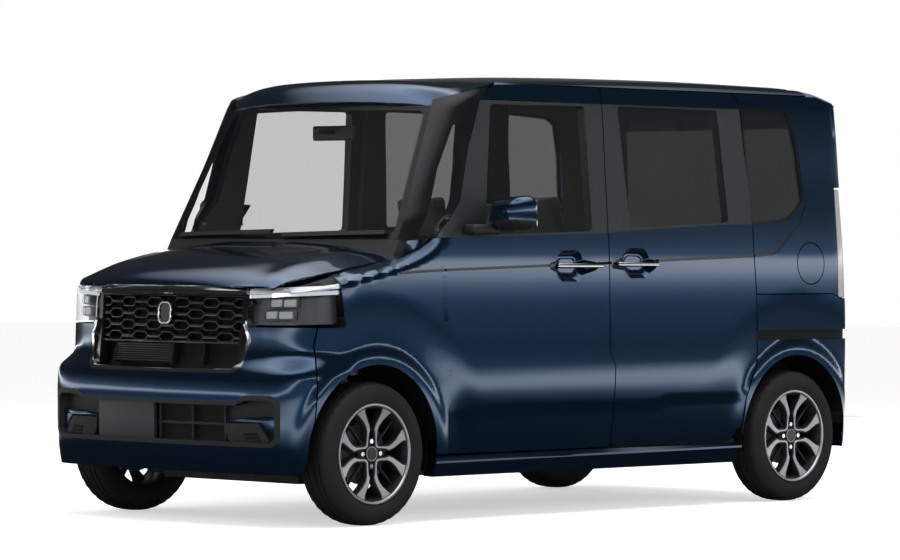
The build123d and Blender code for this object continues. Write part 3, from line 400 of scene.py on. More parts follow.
PEARL_BLUE = (0.012, 0.042, 0.098)
FLAKE_BLUE = (0.02, 0.062, 0.14)
paint = wire_group(
    finish(
        "pearl_paint", "body_paint", Metallic=0.90, Roughness=0.15, Coat_Weight=1.0,
        Coat_Roughness=0.02
    ),
    flake, (("Colour", "Base Color"),),
    Colour=(*PEARL_BLUE, 1), Glint=(*FLAKE_BLUE, 1),
)
MOULDED = (  # name, slot, colour, rubbed colour; scale, gloss low and high, relief, metallic
    # gloss black plastic, also used for the painted shade at the bottom of the belt groove
    ("gloss_black", "black_plastic", (0.006, 0.006, 0.007), (0.01, 0.01, 0.01),
     900, 0.10, 0.18, 0.03, 0),
    ("pillar_film", "black_plastic", (0.018, 0.019, 0.021), (0.024, 0.025, 0.027),
     1200, 0.32, 0.42, 0.1, 0),
    ("moulded_black", "black_plastic", (0.010, 0.0105, 0.011), (0.016, 0.016, 0.017),
     700, 0.45, 0.62, 0.4, 0),
    # near-black plastic, also used for sheets of painted shade in the intake's openings and on its
    # slits
    ("dark_inside", "black_plastic", (0.002, 0.002, 0.0022), (0.004, 0.004, 0.004),
     500, 0.6, 0.8, 0.3, 0),
    ("chrome_plate", "chrome", (0.62, 0.63, 0.65), (0.7, 0.7, 0.72),
     40, 0.05, 0.11, 0.0, 1.0),
    ("machined_alloy", "alloy", (0.72, 0.73, 0.75), (0.82, 0.82, 0.84),
     300, 0.30, 0.42, 0.05, 0.9),
    ("wheel_paint", "alloy", (0.03, 0.031, 0.034), (0.05, 0.05, 0.055),
     500, 0.25, 0.4, 0.05, 0.6),
    ("tyre_rubber", "tyre", (0.009, 0.0092, 0.0095), (0.016, 0.0155, 0.015),
     450, 0.62, 0.82, 0.5, 0),
    ("underbody_paint", "underbody_steel", (0.02, 0.02, 0.021), (0.05, 0.045, 0.04),
     60, 0.5, 0.75, 0.4, 0),
    ("pipe_steel", "bare_steel", (0.30, 0.29, 0.27), (0.42, 0.38, 0.33),
     90, 0.3, 0.55, 0.3, 1.0),
    ("cast_metal", "cast_iron", (0.16, 0.16, 0.17), (0.22, 0.21, 0.20),
     220, 0.45, 0.7, 0.6, 0.8),
    ("cabin_plastic", "cabin_plastic", (0.045, 0.043, 0.040), (0.07, 0.067, 0.06),
     800, 0.5, 0.7, 0.5, 0),
    ("cabin_lining", "cabin_plastic", (0.20, 0.19, 0.17), (0.25, 0.24, 0.22),
     900, 0.7, 0.9, 0.5, 0),
    ("wheel_leather", "leather", (0.02, 0.02, 0.02), (0.05, 0.05, 0.05),
     350, 0.35, 0.55, 0.5, 0),
    ("lamp_inside", "black_plastic", (0.05, 0.051, 0.053), (0.08, 0.08, 0.082),
     500, 0.25, 0.4, 0.1, 0.5),
)
(
    gloss_black, film_grey, black_plastic, dark_plastic_and_shade, chrome, alloy, alloy_dark, rubber,
    steel_dark, bare_steel, cast_metal, cabin_plastic, cabin_lining, leather, lamp_inside,
) = [moulded(*row) for row in MOULDED]
mirror_glass = finish(
    "mirror_glass", "mirror", Metallic=1.0, Roughness=0.02, Base_Color=(0.85, 0.87, 0.88, 1)
)
seat_cloth = wire_group(
    finish("seat_cloth", "seat_fabric", Roughness=0.9, Sheen_Weight=0.3),
    weave, (("Colour", "Base Color"),), 0.5,
    Colour=(0.045, 0.040, 0.035, 1), Thread=(0.11, 0.10, 0.09, 1), Scale=90.0,
)
lamp_clear = finish(
    "lamp_cover", "lamp_lens", Base_Color=(0.93, 0.95, 0.97, 1), Roughness=0.01,
    Transmission_Weight=1.0, IOR=1.12
)
drl_white = finish(
    "lamp_strip", "lamp_lens", Base_Color=(0.50, 0.51, 0.53, 1), Roughness=0.2,
    Emission_Color=(1, 1, 1, 1),
    Emission_Strength=0.05,
)
lens_grey = finish(
    "lamp_bulb_lens", "lamp_lens", Base_Color=(0.26, 0.27, 0.28, 1), Roughness=0.15,
    Coat_Weight=1.0
)
tail_red = finish(
    "tail_red", "tail_lens", Base_Color=(0.42, 0.012, 0.012, 1), Roughness=0.12, Coat_Weight=1.0
)
tail_clear = finish(
    "tail_clear", "tail_lens", Base_Color=(0.34, 0.34, 0.35, 1), Roughness=0.12, Coat_Weight=1.0
)


def pane(name, slot, tint, clearness):
    """A thin sheet of tinted glass: part clear, part reflecting, with no bending of the view."""
    material = finish(
        name, slot, Base_Color=(*tint, 1), Roughness=0.02, Alpha=clearness, Specular_IOR_Level=0.5
    )
    material.surface_render_method = "BLENDED"
    return material


clear_glass = pane("clear_glass", "clear_glass", (0.02, 0.03, 0.028), 0.09)
door_glass = pane("door_glass", "clear_glass", (0.018, 0.024, 0.022), 0.20)
privacy_glass = pane("privacy_glass", "privacy_glass", (0.012, 0.013, 0.014), 0.62)

# %% [markdown]
# ## The skin of the body
# Sheet-metal panels share one smooth surface, and the shut gaps only cut it. So the
# flanks, the corners, the nose and the tail are one surface here. A point on it is found
# from two numbers: how far along the car's outline it lies, measured from the middle of
# the nose round to the middle of the tail, and how high. Each panel is then a flat sheet
# that is cut along its outline and laid on that surface, as a pattern cutter would do.

# %% A smooth curve through a few stops
def smooth_through(stops):
    """A curve through (place, value) stops, level at its highs and lows; it takes arrays."""
    places, values = (np.array(column, float) for column in zip(*stops))
    steps = np.diff(values) / np.diff(places)
    product = steps[1:] * steps[:-1]
    same_way = product > 0
    middle = np.where(same_way, 2 * product / np.where(same_way, steps[1:] + steps[:-1], 1), 0)
    slopes = np.concatenate(([steps[0]], middle, [steps[-1]]))

    def curve(at):
        at = np.clip(np.asarray(at, float), places[0], places[-1])
        i = np.clip(np.searchsorted(places, at, side="right") - 1, 0, len(places) - 2)
        gap = places[i + 1] - places[i]
        t = (at - places[i]) / gap
        return (
            values[i] * (1 + 2 * t) * (1 - t) ** 2
            + values[i + 1] * t * t * (3 - 2 * t)
            + slopes[i] * gap * t * (1 - t) ** 2
            - slopes[i + 1] * gap * t * t * (1 - t)
        )

    return curve


def ease(low, high, at):
    """0 below low, 1 above high, with a smooth step between."""
    t = np.clip((np.asarray(at, float) - low) / (high - low), 0, 1)
    return t * t * (3 - 2 * t)


# Sizes in millimetres, as in the construction
HALF_WIDTH = 737.5
REAR_Y = 1697.5
AXLES_Y = (-1210.5, 1309.5)
ARCH_Z = 284
ARCH_RADIUS = 338
FLANK_START_Y, FLANK_END_Y = -1310, 1560

low_plan = (
    (0, -1697.5), (200, -1692), (400, -1678), (540, -1662), (625, -1642), (676, -1608),
    (707, -1558),
    (722, -1500), (731, -1420), (HALF_WIDTH, FLANK_START_Y),
)
high_plan = (
    (0, -1697.5), (200, -1690), (393, -1669), (520, -1640), (592, -1606), (641, -1568),
    (676, -1524),
    (703, -1470), (723, -1400), (HALF_WIDTH, FLANK_START_Y),
)
tail_plan = (
    (HALF_WIDTH, FLANK_END_Y), (735.5, 1606), (728, 1644), (706, 1673), (660, 1688), (560, 1694),
    (300, 1697), (0, REAR_Y),
)
PLAN_BLEND = (585, 665)  # below these heights the low plan holds, above them the high one


def chord_stops(points):
    """How far along its own chords each point of an outline lies."""
    chords = [hypot(b[0] - a[0], b[1] - a[1]) for a, b in zip(points, points[1:])]
    return np.concatenate(([0], np.cumsum(chords)))


nose_run = chord_stops(low_plan)
FLANK_START = nose_run[-1]


def along(y):
    """The distance along the outline of a place y on the flank."""
    return FLANK_START + y - FLANK_START_Y


tail_run = along(FLANK_END_Y) + chord_stops(tail_plan)
OUTLINE_END = tail_run[-1]
run = np.concatenate((nose_run, tail_run))
plans = []
for nose in (low_plan, high_plan):
    outline = nose + tail_plan
    plans.append([smooth_through(list(zip(run, [p[axis] for p in outline]))) for axis in (0, 1)])
print("outline from nose to tail:", round(OUTLINE_END), "mm")

# %% How far the skin lies inside the outline at each height
lower_crease = smooth_through(((-1000, 407), (-794, 415), (155, 433), (895, 448), (1100, 452)))
section_above = smooth_through((
    (560, 0.5), (640, 0), (821, 2), (1012, 6.5), (1138, 13.5), (1349, 29.5), (1667, 53.5),
    (1724, 65.5), (1746, 84),
    (1760, 112),
))
nose_inset = smooth_through((
    (100, 62), (180, 40), (240, 15), (290, 5), (330, 2), (400, 0), (490, 0), (560, 5), (600, 16),
    (640, 31),
    (690, 38), (760, 42), (850, 47), (905, 54), (930, 64), (960, 84), (985, 110), (1000, 140),
))
tail_inset = smooth_through((
    (100, 60), (180, 32), (240, 12), (300, 2), (340, 0), (640, 0), (720, 4), (852, 7.5),
    (1210, 33.5), (1430, 60),
    (1649, 95.5), (1740, 120), (1760, 130),
))
shoulder_foot = smooth_through(
    (
        (-1640, 890), (-1540, 903), (-1400, 925), (-1200, 962), (-1081, 985), (-900, 1040),
        (-800, 1110)
    )
)
shoulder_depth = smooth_through(
    ((-1640, 90), (-1540, 90), (-1400, 85), (-1200, 74), (-1081, 62), (-960, 34), (-800, 0))
)
BELT_GROOVE = (
    (-1090, 973), (-923, 981), (159, 1012), (1033, 1041), (1158, 1050), (1196, 1064), (1240, 1100),
    (1346, 1186),
    (1384, 1250),
)


def distance_to_path(y, z, path):
    """The shortest distance from points to a broken line."""
    best = np.full(np.shape(y), 1e9)
    for (ya, za), (yb, zb) in zip(path, path[1:]):
        length = hypot(yb - ya, zb - za)
        t = np.clip(((y - ya) * (yb - ya) + (z - za) * (zb - za)) / length**2, 0, 1)
        best = np.minimum(best, np.hypot(y - ya - t * (yb - ya), z - za - t * (zb - za)))
    return best


# Depths and heights in millimetres
ROLL_DEPTH, ROLL_HEIGHT = 9, 175  # over the crease the side rolls in by this much
CREASE_STEP, UNDERCUT = 3.2, 0.088  # under it the side steps in and leans inward
PLAIN_DEPTH, PLAIN_TOP_Z, PLAIN_HEIGHT = 11, 560, 360  # the lower side without a crease
CREASE_FRONT_Y, CREASE_REAR_Y = (-830, -700), (900, 1010)  # where the crease fades
ARCH_LIP_REACH, LIP_END_REACH, FLARE_END_REACH = 368, 412, 620  # from the wheel's middle
LIP_PROUD, FLARE_HOLLOW = 2.0, 4.5
FLARE_FOOT_Z = (190, 260)


def flank_inset(y, z):
    """The flank: a bowed side with a crease above the sill and flared wheel arches."""
    crease = lower_crease(y)
    roll = ROLL_DEPTH * np.clip((crease + ROLL_HEIGHT - z) / ROLL_HEIGHT, 0, 1) ** 2
    below = ROLL_DEPTH + CREASE_STEP + (crease - z) * UNDERCUT
    creased = ease(*CREASE_FRONT_Y, y) * (1 - ease(*CREASE_REAR_Y, y))
    plain = PLAIN_DEPTH * np.clip((PLAIN_TOP_Z - z) / PLAIN_HEIGHT, 0, 1.3) ** 1.6
    inset = np.where(z < crease, below, roll) * creased + plain * (1 - creased) + section_above(z)
    for axle_y in AXLES_Y:
        reach = np.hypot(y - axle_y, z - ARCH_Z)
        past_lip = ease(ARCH_LIP_REACH, LIP_END_REACH, reach)
        hollow = FLARE_HOLLOW * past_lip * (1 - ease(LIP_END_REACH, FLARE_END_REACH, reach))
        flare = hollow - LIP_PROUD * (1 - past_lip)
        inset = inset + flare * ease(*FLARE_FOOT_Z, z) * (reach > 200)
    return inset


SHOULDER_END_Y = -800
SHOULDER_HEIGHT, SHOULDER_POWER = 40, 2.2
PROBE = 1.0  # the skin's direction is taken from points this far to either side


def skin(run_at, z):
    """Points of the body's skin, in millimetres, from arrays of outline distance and height."""
    run_at, z = np.asarray(run_at, float), np.asarray(z, float)
    mirror = np.where(run_at < 0, -1.0, 1.0)
    at = np.abs(run_at)
    blend = ease(*PLAN_BLEND, z)

    def plan(place):
        return [(1 - blend) * low(place) + blend * high(place) for low, high in zip(*plans)]

    x, y = plan(at)
    ahead, behind = plan(np.minimum(at + PROBE, OUTLINE_END)), plan(np.maximum(at - PROBE, 0))
    dx, dy = ahead[0] - behind[0], ahead[1] - behind[1]
    length = np.hypot(dx, dy)
    nx, ny = dy / length, -dx / length
    nx = np.where(at < PROBE, 0, nx)
    side = flank_inset(y, z)
    end = np.where(ny < 0, nose_inset(z), tail_inset(z))
    inset = nx * nx * side + ny * ny * end
    rise = np.maximum(z - shoulder_foot(y), 0) / SHOULDER_HEIGHT
    turn_over = np.where(y < SHOULDER_END_Y, shoulder_depth(y) * rise**SHOULDER_POWER, 0)
    inset = inset + turn_over * np.clip(nx, 0, 1)
    return np.stack([mirror * (x - nx * inset), y - ny * inset, z], axis=-1)


print("flank at the waist:", [round(v, 1) for v in skin(along(0), 640.0)])

# %% [markdown]
# ### Cutting a panel
# A panel starts as a flat grid. A cutting plane runs along each straight stretch of the
# outline and splits only the faces that it touches. Faces outside the outline go, the
# rest is laid on the surface, gets its thickness, and keeps sharp rims. A grid cut this
# way has an even mesh, so that reflections run smoothly over it.

# %% Panel tools
def rounded(points, radius, pieces=5):
    """An outline with its corners rounded; radius is one value or one for each corner."""
    radii = radius if isinstance(radius, (list, tuple)) else [radius] * len(points)
    out = []
    for i, corner in enumerate(points):
        if not radii[i]:
            out.append(tuple(corner))
            continue
        here = Vector(corner)
        before, after = Vector(points[i - 1]), Vector(points[(i + 1) % len(points)])
        to_before, to_after = (before - here).normalized(), (after - here).normalized()
        half = to_before.angle(to_after) / 2
        shortest = min((before - here).length, (after - here).length)
        reach = min(radii[i] / max(abs(np.tan(half)), 0.05), 0.48 * shortest)
        start, end = here + to_before * reach, here + to_after * reach
        for k in range(pieces + 1):
            t = k / pieces
            p = start * (1 - t) ** 2 + here * 2 * t * (1 - t) + end * t * t
            out.append((p.x, p.y))
    return out


def arc_points(centre, radius, start, end, pieces):
    """Points of an arc in a sheet, from angle start to end in degrees."""
    angles = np.radians(np.linspace(start, end, pieces + 1))
    return [(centre[0] + radius * cos(a), centre[1] + radius * sin(a)) for a in angles]


def inside(point, outline):
    """Whether a point lies inside a closed outline."""
    x, y = point
    hit = False
    for (xa, ya), (xb, yb) in zip(outline, outline[1:] + outline[:1]):
        if (ya > y) != (yb > y) and x < xa + (y - ya) / (yb - ya) * (xb - xa):
            hit = not hit
    return hit


def everything(bm):
    """All the vertices, edges and faces of a bmesh."""
    return list(bm.verts) + list(bm.edges) + list(bm.faces)


def knife(bm, start, end, reach=0.01):
    """Split the faces that a straight stretch touches, along its line."""
    low = (min(start[0], end[0]) - reach, min(start[1], end[1]) - reach)
    high = (max(start[0], end[0]) + reach, max(start[1], end[1]) + reach)
    touched = []
    for face in bm.faces:
        xs = [v.co.x for v in face.verts]
        ys = [v.co.y for v in face.verts]
        if max(xs) > low[0] and min(xs) < high[0] and max(ys) > low[1] and min(ys) < high[1]:
            touched.append(face)
    edges, verts = {e for f in touched for e in f.edges}, {v for f in touched for v in f.verts}
    bmesh.ops.bisect_plane(
        bm, geom=touched + list(edges) + list(verts), dist=SNAP, plane_co=(*start, 0),
        plane_no=(end[1] - start[1], start[0] - end[0], 0),
    )


SNAP, MERGE = 0.02, 0.3  # a cut takes a vertex this near; vertices this near become one


def sheet(outline, step, holes=()):
    """A flat grid cut to an outline with holes; step is one size or a pair."""
    xs, ys = [p[0] for p in outline], [p[1] for p in outline]
    low, high = (min(xs), min(ys)), (max(xs), max(ys))
    across_step, up_step = step if isinstance(step, tuple) else (step, step)
    columns = max(1, ceil((high[0] - low[0]) / across_step))
    rows = max(1, ceil((high[1] - low[1]) / up_step))
    bm = bmesh.new()
    bmesh.ops.create_grid(bm, x_segments=columns, y_segments=rows, size=0.5)
    bmesh.ops.translate(bm, verts=bm.verts, vec=(0.5, 0.5, 0))
    bmesh.ops.scale(bm, verts=bm.verts, vec=(high[0] - low[0], high[1] - low[1], 1))
    bmesh.ops.translate(bm, verts=bm.verts, vec=(*low, 0))
    loops = [list(outline), *[list(h) for h in holes]]
    for loop in loops:
        for start, end in zip(loop, loop[1:] + loop[:1]):
            knife(bm, start, end)
    outside = []
    for face in bm.faces:
        middle = face.calc_center_median()
        spot = (middle.x, middle.y)
        if not inside(spot, loops[0]) or any(inside(spot, hole) for hole in loops[1:]):
            outside.append(face)
    bmesh.ops.delete(bm, geom=outside, context="FACES")
    bmesh.ops.remove_doubles(bm, verts=bm.verts, dist=MERGE)
    return bm


def steady_normal(vert):
    """The vertex normal weighted by area, so that slivers don't turn it."""
    total = sum((f.normal * f.calc_area() for f in vert.link_faces), Vector())
    return total.normalized() if total.length > 1e-9 else vert.normal.copy()


def lay_on(bm, surface, inward=0):
    """Move each vertex of a flat sheet to surface(first, second), then inward."""
    flat = np.array([v.co for v in bm.verts])
    for vert, place in zip(bm.verts, surface(flat[:, 0], flat[:, 1])):
        vert.co = place
    bm.normal_update()
    if inward:
        for vert, push in [(v, steady_normal(v) * -inward) for v in bm.verts]:
            vert.co += push
    return bm


CAR_MIDDLE = (0, 0, 800)
CABIN_MIDDLE, NOSE_MIDDLE, TAIL_MIDDLE = (0, 0, 1000), (0, -1300, 700), (0, 1200, 900)
ROOF_MIDDLE, PILLAR_MIDDLE = (0, 300, 900), (0, -200, 1200)


def point_outwards(bm, centre=CAR_MIDDLE):
    """Turn an open sheet's faces away from a point inside the car."""
    middle = Vector(centre)
    away = 0
    for face in bm.faces:
        outward = (face.calc_center_median() - middle).normalized()
        away += outward.dot(face.normal) * face.calc_area()
    if away < 0:
        bmesh.ops.reverse_faces(bm, faces=bm.faces)
    bm.normal_update()
    return bm


def of_kind(geometry, kind):
    """The members of a list of geometry that are of one kind."""
    return [member for member in geometry if isinstance(member, kind)]


def back_with(bm, push_of):
    """Close an open sheet with a copy of itself, pushed back, and with walls at the rims."""
    rims = []
    for edge in bm.edges:
        if edge.is_boundary:
            loop = edge.link_loops[0]
            rims.append((loop.vert, loop.link_loop_next.vert))
    pushes = {vert: push_of(vert) for vert in bm.verts}
    made = bmesh.ops.duplicate(bm, geom=everything(bm))
    inner = {vert: made["vert_map"][vert] for vert in pushes}
    for vert, push in pushes.items():
        inner[vert].co += push
    bmesh.ops.reverse_faces(bm, faces=of_kind(made["geom"], bmesh.types.BMFace))
    for start, end in rims:
        bm.faces.new((end, start, inner[start], inner[end]))
    return bm


def thicken(bm, wall, centre=CAR_MIDDLE):
    """Give an open sheet a wall on its inner side, with closed rims."""
    point_outwards(bm, centre)
    back_with(bm, lambda vert: steady_normal(vert) * -wall)
    bm.normal_update()
    return bm


def mirrored(bm, verts, faces):
    """Move part of a shape to the other side of the car."""
    bmesh.ops.scale(bm, verts=verts, vec=(-1, 1, 1))
    bmesh.ops.reverse_faces(bm, faces=faces)
    return bm


def add_mirror_image(bm):
    """Add the same shape on the other side of the car."""
    copied = bmesh.ops.duplicate(bm, geom=everything(bm))["geom"]
    return mirrored(bm, of_kind(copied, bmesh.types.BMVert), of_kind(copied, bmesh.types.BMFace))


def join(target, other):
    """Add the geometry of another bmesh and free it."""
    mesh = bpy.data.meshes.new("joining")
    other.to_mesh(mesh)
    other.free()
    target.from_mesh(mesh)
    bpy.data.meshes.remove(mesh)
    return target


def piece(name, bm, material, body="root", stands_for=(), sharp=35, side=0, lining=None):
    """Finish a bmesh in millimetres as a piece in metres that rides on a body.

    With a side, {} in the names becomes left or right, and the shape drawn for the left
    goes to the right where the side is -1. Edges steeper than sharp degrees stay sharp.
    """
    if side:
        hand = HAND[side]
        name, body = name.format(hand), body.format(hand)
        stands_for = [node.format(hand) for node in stands_for]
    if side < 0:
        mirrored(bm, bm.verts, bm.faces)
    bmesh.ops.scale(bm, verts=bm.verts, vec=(MM, MM, MM))
    bm.normal_update()
    for edge in bm.edges:
        edge.smooth = edge.calc_face_angle(0) < radians(sharp)
    for face in bm.faces:
        face.smooth = True
    mesh = bpy.data.meshes.new(name)
    bm.to_mesh(mesh)
    bm.free()
    mesh.materials.append(material)
    if lining:
        mesh.materials.append(lining)
    made = bpy.data.objects.new(name, mesh)
    bpy.context.collection.objects.link(made)
    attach(made, body)
    if stands_for:
        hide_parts(*stands_for)
    return made


def on_flank(y, z):
    """Lay (y, z) sheets on the left flank."""
    return skin(along(y), z)


print("panel tools ready")

# %% [markdown]
# ### The painted panels
# Each panel's outline is given in a side view, or along the outline of the car, and lies
# 3 mm inside the shut line that it shares with its neighbour. Panels are drawn for the
# left side; the right side is their mirror image.

# %% Outlines of doors, windows and seams
HALF_GAP = 3
front_seam = ((-794, 262), (-804, 414), (-809, 750), (-821, 977), (-826, 1110))
B_SEAM_Y = 159
slide_seam = (
    (1040, 1174), (1041, 1041), (1054, 856), (1059, 646), (1048, 583), (1020, 533), (980, 446),
    (966, 353), (900, 268)
)
front_window = ((-560, 1122), (68, 1141), (54, 1646), (-494, 1641))
slide_window = ((294, 1156), (893, 1181), (852, 1650), (248, 1652))
quarter_window = (
    (1040, 1180), (1247, 1194), (1285, 1208), (1349, 1256), (1376, 1284), (1349, 1490),
    (1313, 1620), (1262, 1646),
    (1010, 1660),
)
QUARTER_RADII = [10, 20, 20, 20, 20, 30, 30, 30, 6]
QUARTER_MIDDLE = (1180, 1420)


def grown(outline, middle, share):
    """An outline made larger about a point by a share of its size, or smaller below 0."""
    return [tuple(p + (p - m) * share for p, m in zip(point, middle)) for point in outline]


quarter_hole = grown(quarter_window, QUARTER_MIDDLE, -0.012)
quarter_rim = grown(quarter_window, QUARTER_MIDDLE, 0.05)
LOWER_Z = 266
TOP_Z = 1722


HALVINGS = 40  # enough for a fine fraction of a millimetre


def u_at(z, y):
    """The outline distance at which the left skin reaches a place y at height z."""
    low, high = 0.0, OUTLINE_END
    for _ in range(HALVINGS):
        middle = (low + high) / 2
        if float(skin(middle, float(z))[1]) < y:
            low = middle
        else:
            high = middle
    return low


def beside(path, gap):
    """A broken line that runs beside another at a distance."""
    out = []
    for i, (y, z) in enumerate(path):
        (ya, za), (yb, zb) = path[max(i - 1, 0)], path[min(i + 1, len(path) - 1)]
        length = hypot(yb - ya, zb - za)
        out.append((y - gap * (zb - za) / length, z + gap * (yb - ya) / length))
    return out


HALF_GROOVE = 5.5
belt_groove = beside(BELT_GROOVE, -HALF_GROOVE) + beside(BELT_GROOVE, HALF_GROOVE)[::-1]


FACES_CABIN = -0.75  # a face of the left flank that looks inward more squarely than this


def round_panel(
    name, outline, wall, material, body="root", stands_for=(), holes=(), step=20, side=0,
    lining=None, inward=0, surface=skin,
):
    """A panel that may run round a corner, from (outline distance, z) points."""
    bm = thicken(lay_on(sheet(outline, step, holes), surface, inward), wall)
    if lining:
        for face in bm.faces:
            if face.normal.x < FACES_CABIN:
                face.material_index = 1
    return piece(name, bm, material, body, stands_for, side=side, lining=lining)


def side_panel(name, outline, wall, material, body="root", stands_for=(), step=22, **rest):
    """A panel of one flank, from (y, z) points."""
    return round_panel(
        name, outline, wall, material, body, stands_for, step=step, surface=on_flank, **rest
    )


DOOR_REAR_Y, SLIDE_FRONT_Y = B_SEAM_Y - HALF_GAP, B_SEAM_Y + HALF_GAP
WAIST_Z, FRAME_TOP_Z = 1132, 1657  # at the seam between the doors
front_door_low = rounded(
    [(DOOR_REAR_Y, LOWER_Z), (DOOR_REAR_Y, WAIST_Z), (-560, 1116), (-826, 1111)]
    + list(reversed(front_seam[1:-1]))
    + [(-795, LOWER_Z)],
    [26, 3, 0, 4, 0, 0, 0, 30],
)
front_door_high = [
    (DOOR_REAR_Y, WAIST_Z), (DOOR_REAR_Y, FRAME_TOP_Z), (-550, FRAME_TOP_Z), (-637, 1457),
    (-693, 1259), (-826, 1111), (-560, 1116),
]
front_door_top = rounded(
    [(DOOR_REAR_Y, FRAME_TOP_Z), (DOOR_REAR_Y, TOP_Z), (-440, TOP_Z - 4), (-497, 1702),
     (-550, 1660)],
    [0, 4, 30, 20, 0],
)
slide_low = rounded(
    [(SLIDE_FRONT_Y, LOWER_Z), (906, LOWER_Z)]
    + [(y - HALF_GAP, z) for y, z in reversed(slide_seam[:-1])]
    + [(897, 1172), (294, 1144), (SLIDE_FRONT_Y, WAIST_Z)],
    [26, 12, 40, 60, 60, 30, 60, 0, 0, 2, 0, 0, 2],
)
slide_high = [
    (SLIDE_FRONT_Y, WAIST_Z), (294, 1144), (897, 1172), (1037, 1174), (1031, 1319), (1007, 1487),
    (994, FRAME_TOP_Z), (SLIDE_FRONT_Y, FRAME_TOP_Z),
]
slide_top = rounded(
    [(SLIDE_FRONT_Y, FRAME_TOP_Z), (994, FRAME_TOP_Z), (984, 1700), (950, TOP_Z),
     (SLIDE_FRONT_Y, TOP_Z)],
    [0, 0, 30, 30, 4],
)
print("front door:", len(front_door_low), "outline points, sliding door:", len(slide_low))

# %% Finger cups and handles
CUP_DEPTH = 20
CUP_WALL_WIDTH = 30  # the cup reaches its full depth this far from its rim
CUP_STEP, CUP_CORNER = 9, 14
front_cup = rounded(
    [
        (-190, 1015), (-152, 1020), (-142, 1050), (-120, 1063), (-28, 1063), (-8, 1048), (0, 1026),
        (90, 1015), (92, 986),
        (60, 978), (-6, 962), (-20, 942), (-40, 936), (-125, 938), (-146, 956), (-154, 976),
        (-190, 986),
    ],
    CUP_CORNER, 3,
)
slide_cup = rounded(
    [
        (172, 1018), (236, 1034), (258, 1064), (285, 1074), (364, 1072), (386, 1052), (394, 1030),
        (437, 1022), (437, 990),
        (392, 968), (378, 950), (286, 949), (262, 962), (248, 982), (172, 990),
    ],
    CUP_CORNER, 3,
)


def cup_surface(cup):
    """The flank pressed in inside a cup's rim."""
    def surface(y, z):
        near = np.clip(distance_to_path(y, z, cup + cup[:1]) / CUP_WALL_WIDTH, 0, 1)
        points = on_flank(y, z)
        points[..., 0] -= CUP_DEPTH * (1 - (1 - near) ** 2)
        return points
    return surface


def rounded_block(size, place, radius, segments=4):
    """A block with all edges rounded."""
    bm = bmesh.new()
    bmesh.ops.create_cube(bm, size=1)
    bmesh.ops.scale(bm, verts=bm.verts, vec=size)
    bmesh.ops.bevel(
        bm, geom=list(bm.edges), offset=radius, segments=segments, profile=0.5, affect="EDGES"
    )
    bmesh.ops.translate(bm, verts=bm.verts, vec=place)
    return bm


BAR_THICK, BAR_HIGH, BAR_EDGE = 14, 25, 6.5
BAR_TAPER, BAR_BOW = 0.28, 6  # towards its ends a handle gets lower and comes nearer
HANDLES = (  # name, cup, the bar's ends and height, body, node
    ("front", front_cup, (-186, 84), 1001, "front_door_{}", "front_door_{}"),
    ("slide", slide_cup, (176, 424), 1007, "root", "sliding_doors"),
)
for side in HAND:
    for name, cup, (bar_from, bar_to), bar_z, body, node in HANDLES:
        bm = point_outwards(lay_on(sheet(cup, CUP_STEP), cup_surface(cup)))
        piece(name + "_cup_{}", bm, paint, body, (node,), side=side)
        length, middle = bar_to - bar_from, (bar_from + bar_to) / 2
        bar_x = float(on_flank(middle, float(bar_z))[0]) + BAR_THICK / 2
        bm = rounded_block((BAR_THICK, length, BAR_HIGH), (bar_x, middle, bar_z), BAR_EDGE, 3)
        for vert in bm.verts:
            end = abs(vert.co.y - middle) / (length / 2)
            vert.co.z = bar_z + (vert.co.z - bar_z) * (1 - BAR_TAPER * end**3)
            vert.co.x -= BAR_BOW * end**2
        piece(name + "_handle_{}", bm, chrome, body, (node,), side=side)
print("handles are in place")

# %% Doors
DOOR_WALL, FRAME_WALL = 84, 38
FRAME_SINK = 2
PANE_WALL, PANE_SINK, PANE_STEP = 4, 7, 40
CORNER, PANE_CORNER = 22, 16  # radii of a window's opening and of its pane
SIDE_DOORS = (
    # the door's name, its parts' names, low, high and top part, cup, window, glass, body and
    # the nodes of door and glass
    ("door_{}", "door", front_door_low, front_door_high, front_door_top, front_cup, front_window,
     door_glass, "front_door_{}", "front_door_{}", "front_door_glass_{}"),
    ("sliding_door_{}", "sliding", slide_low, slide_high, slide_top, slide_cup, slide_window,
     privacy_glass, "root", "sliding_doors", "side_glass"),
)
for side in HAND:
    for door, name, low, high, top, cup, window, glass, body, node, glass_node in SIDE_DOORS:
        side_panel(
            door, low, DOOR_WALL, paint, body, (node,),
            holes=[cup, belt_groove], side=side, lining=cabin_lining,
        )
        side_panel(
            name + "_frame_{}", high, FRAME_WALL, film_grey, body, (node,),
            holes=[rounded(window, CORNER)], side=side, inward=FRAME_SINK, lining=cabin_plastic,
        )
        side_panel(
            name + "_top_{}", top, FRAME_WALL, paint, body, (node,), side=side,
            lining=cabin_plastic,
        )
        side_panel(
            name + "_glass_{}", rounded(window, PANE_CORNER), PANE_WALL, glass, body,
            (glass_node,), side=side, step=PANE_STEP, inward=PANE_SINK,
        )
print("doors and their glass are in place")

# %% Rear quarters
TAILGATE_X = 625
FUEL_LID, FUEL_LID_RADIUS = (1408, 1010), 86
ARCH_POINTS = 40
BUMPER_FOOT_Z = 222


def tail_u(x):
    """The outline distance of a place x on the tail."""
    return float(np.interp(-x, [-p[0] for p in tail_plan], tail_run))


def flank_u(points):
    """Side-view points as (outline distance, z)."""
    return [(along(y), z) for y, z in points]


def round_lid(radius, points):
    """A circle round the middle of the fuel lid, as (outline distance, z)."""
    return flank_u(arc_points(FUEL_LID, radius, 0, 360, points)[:-1])


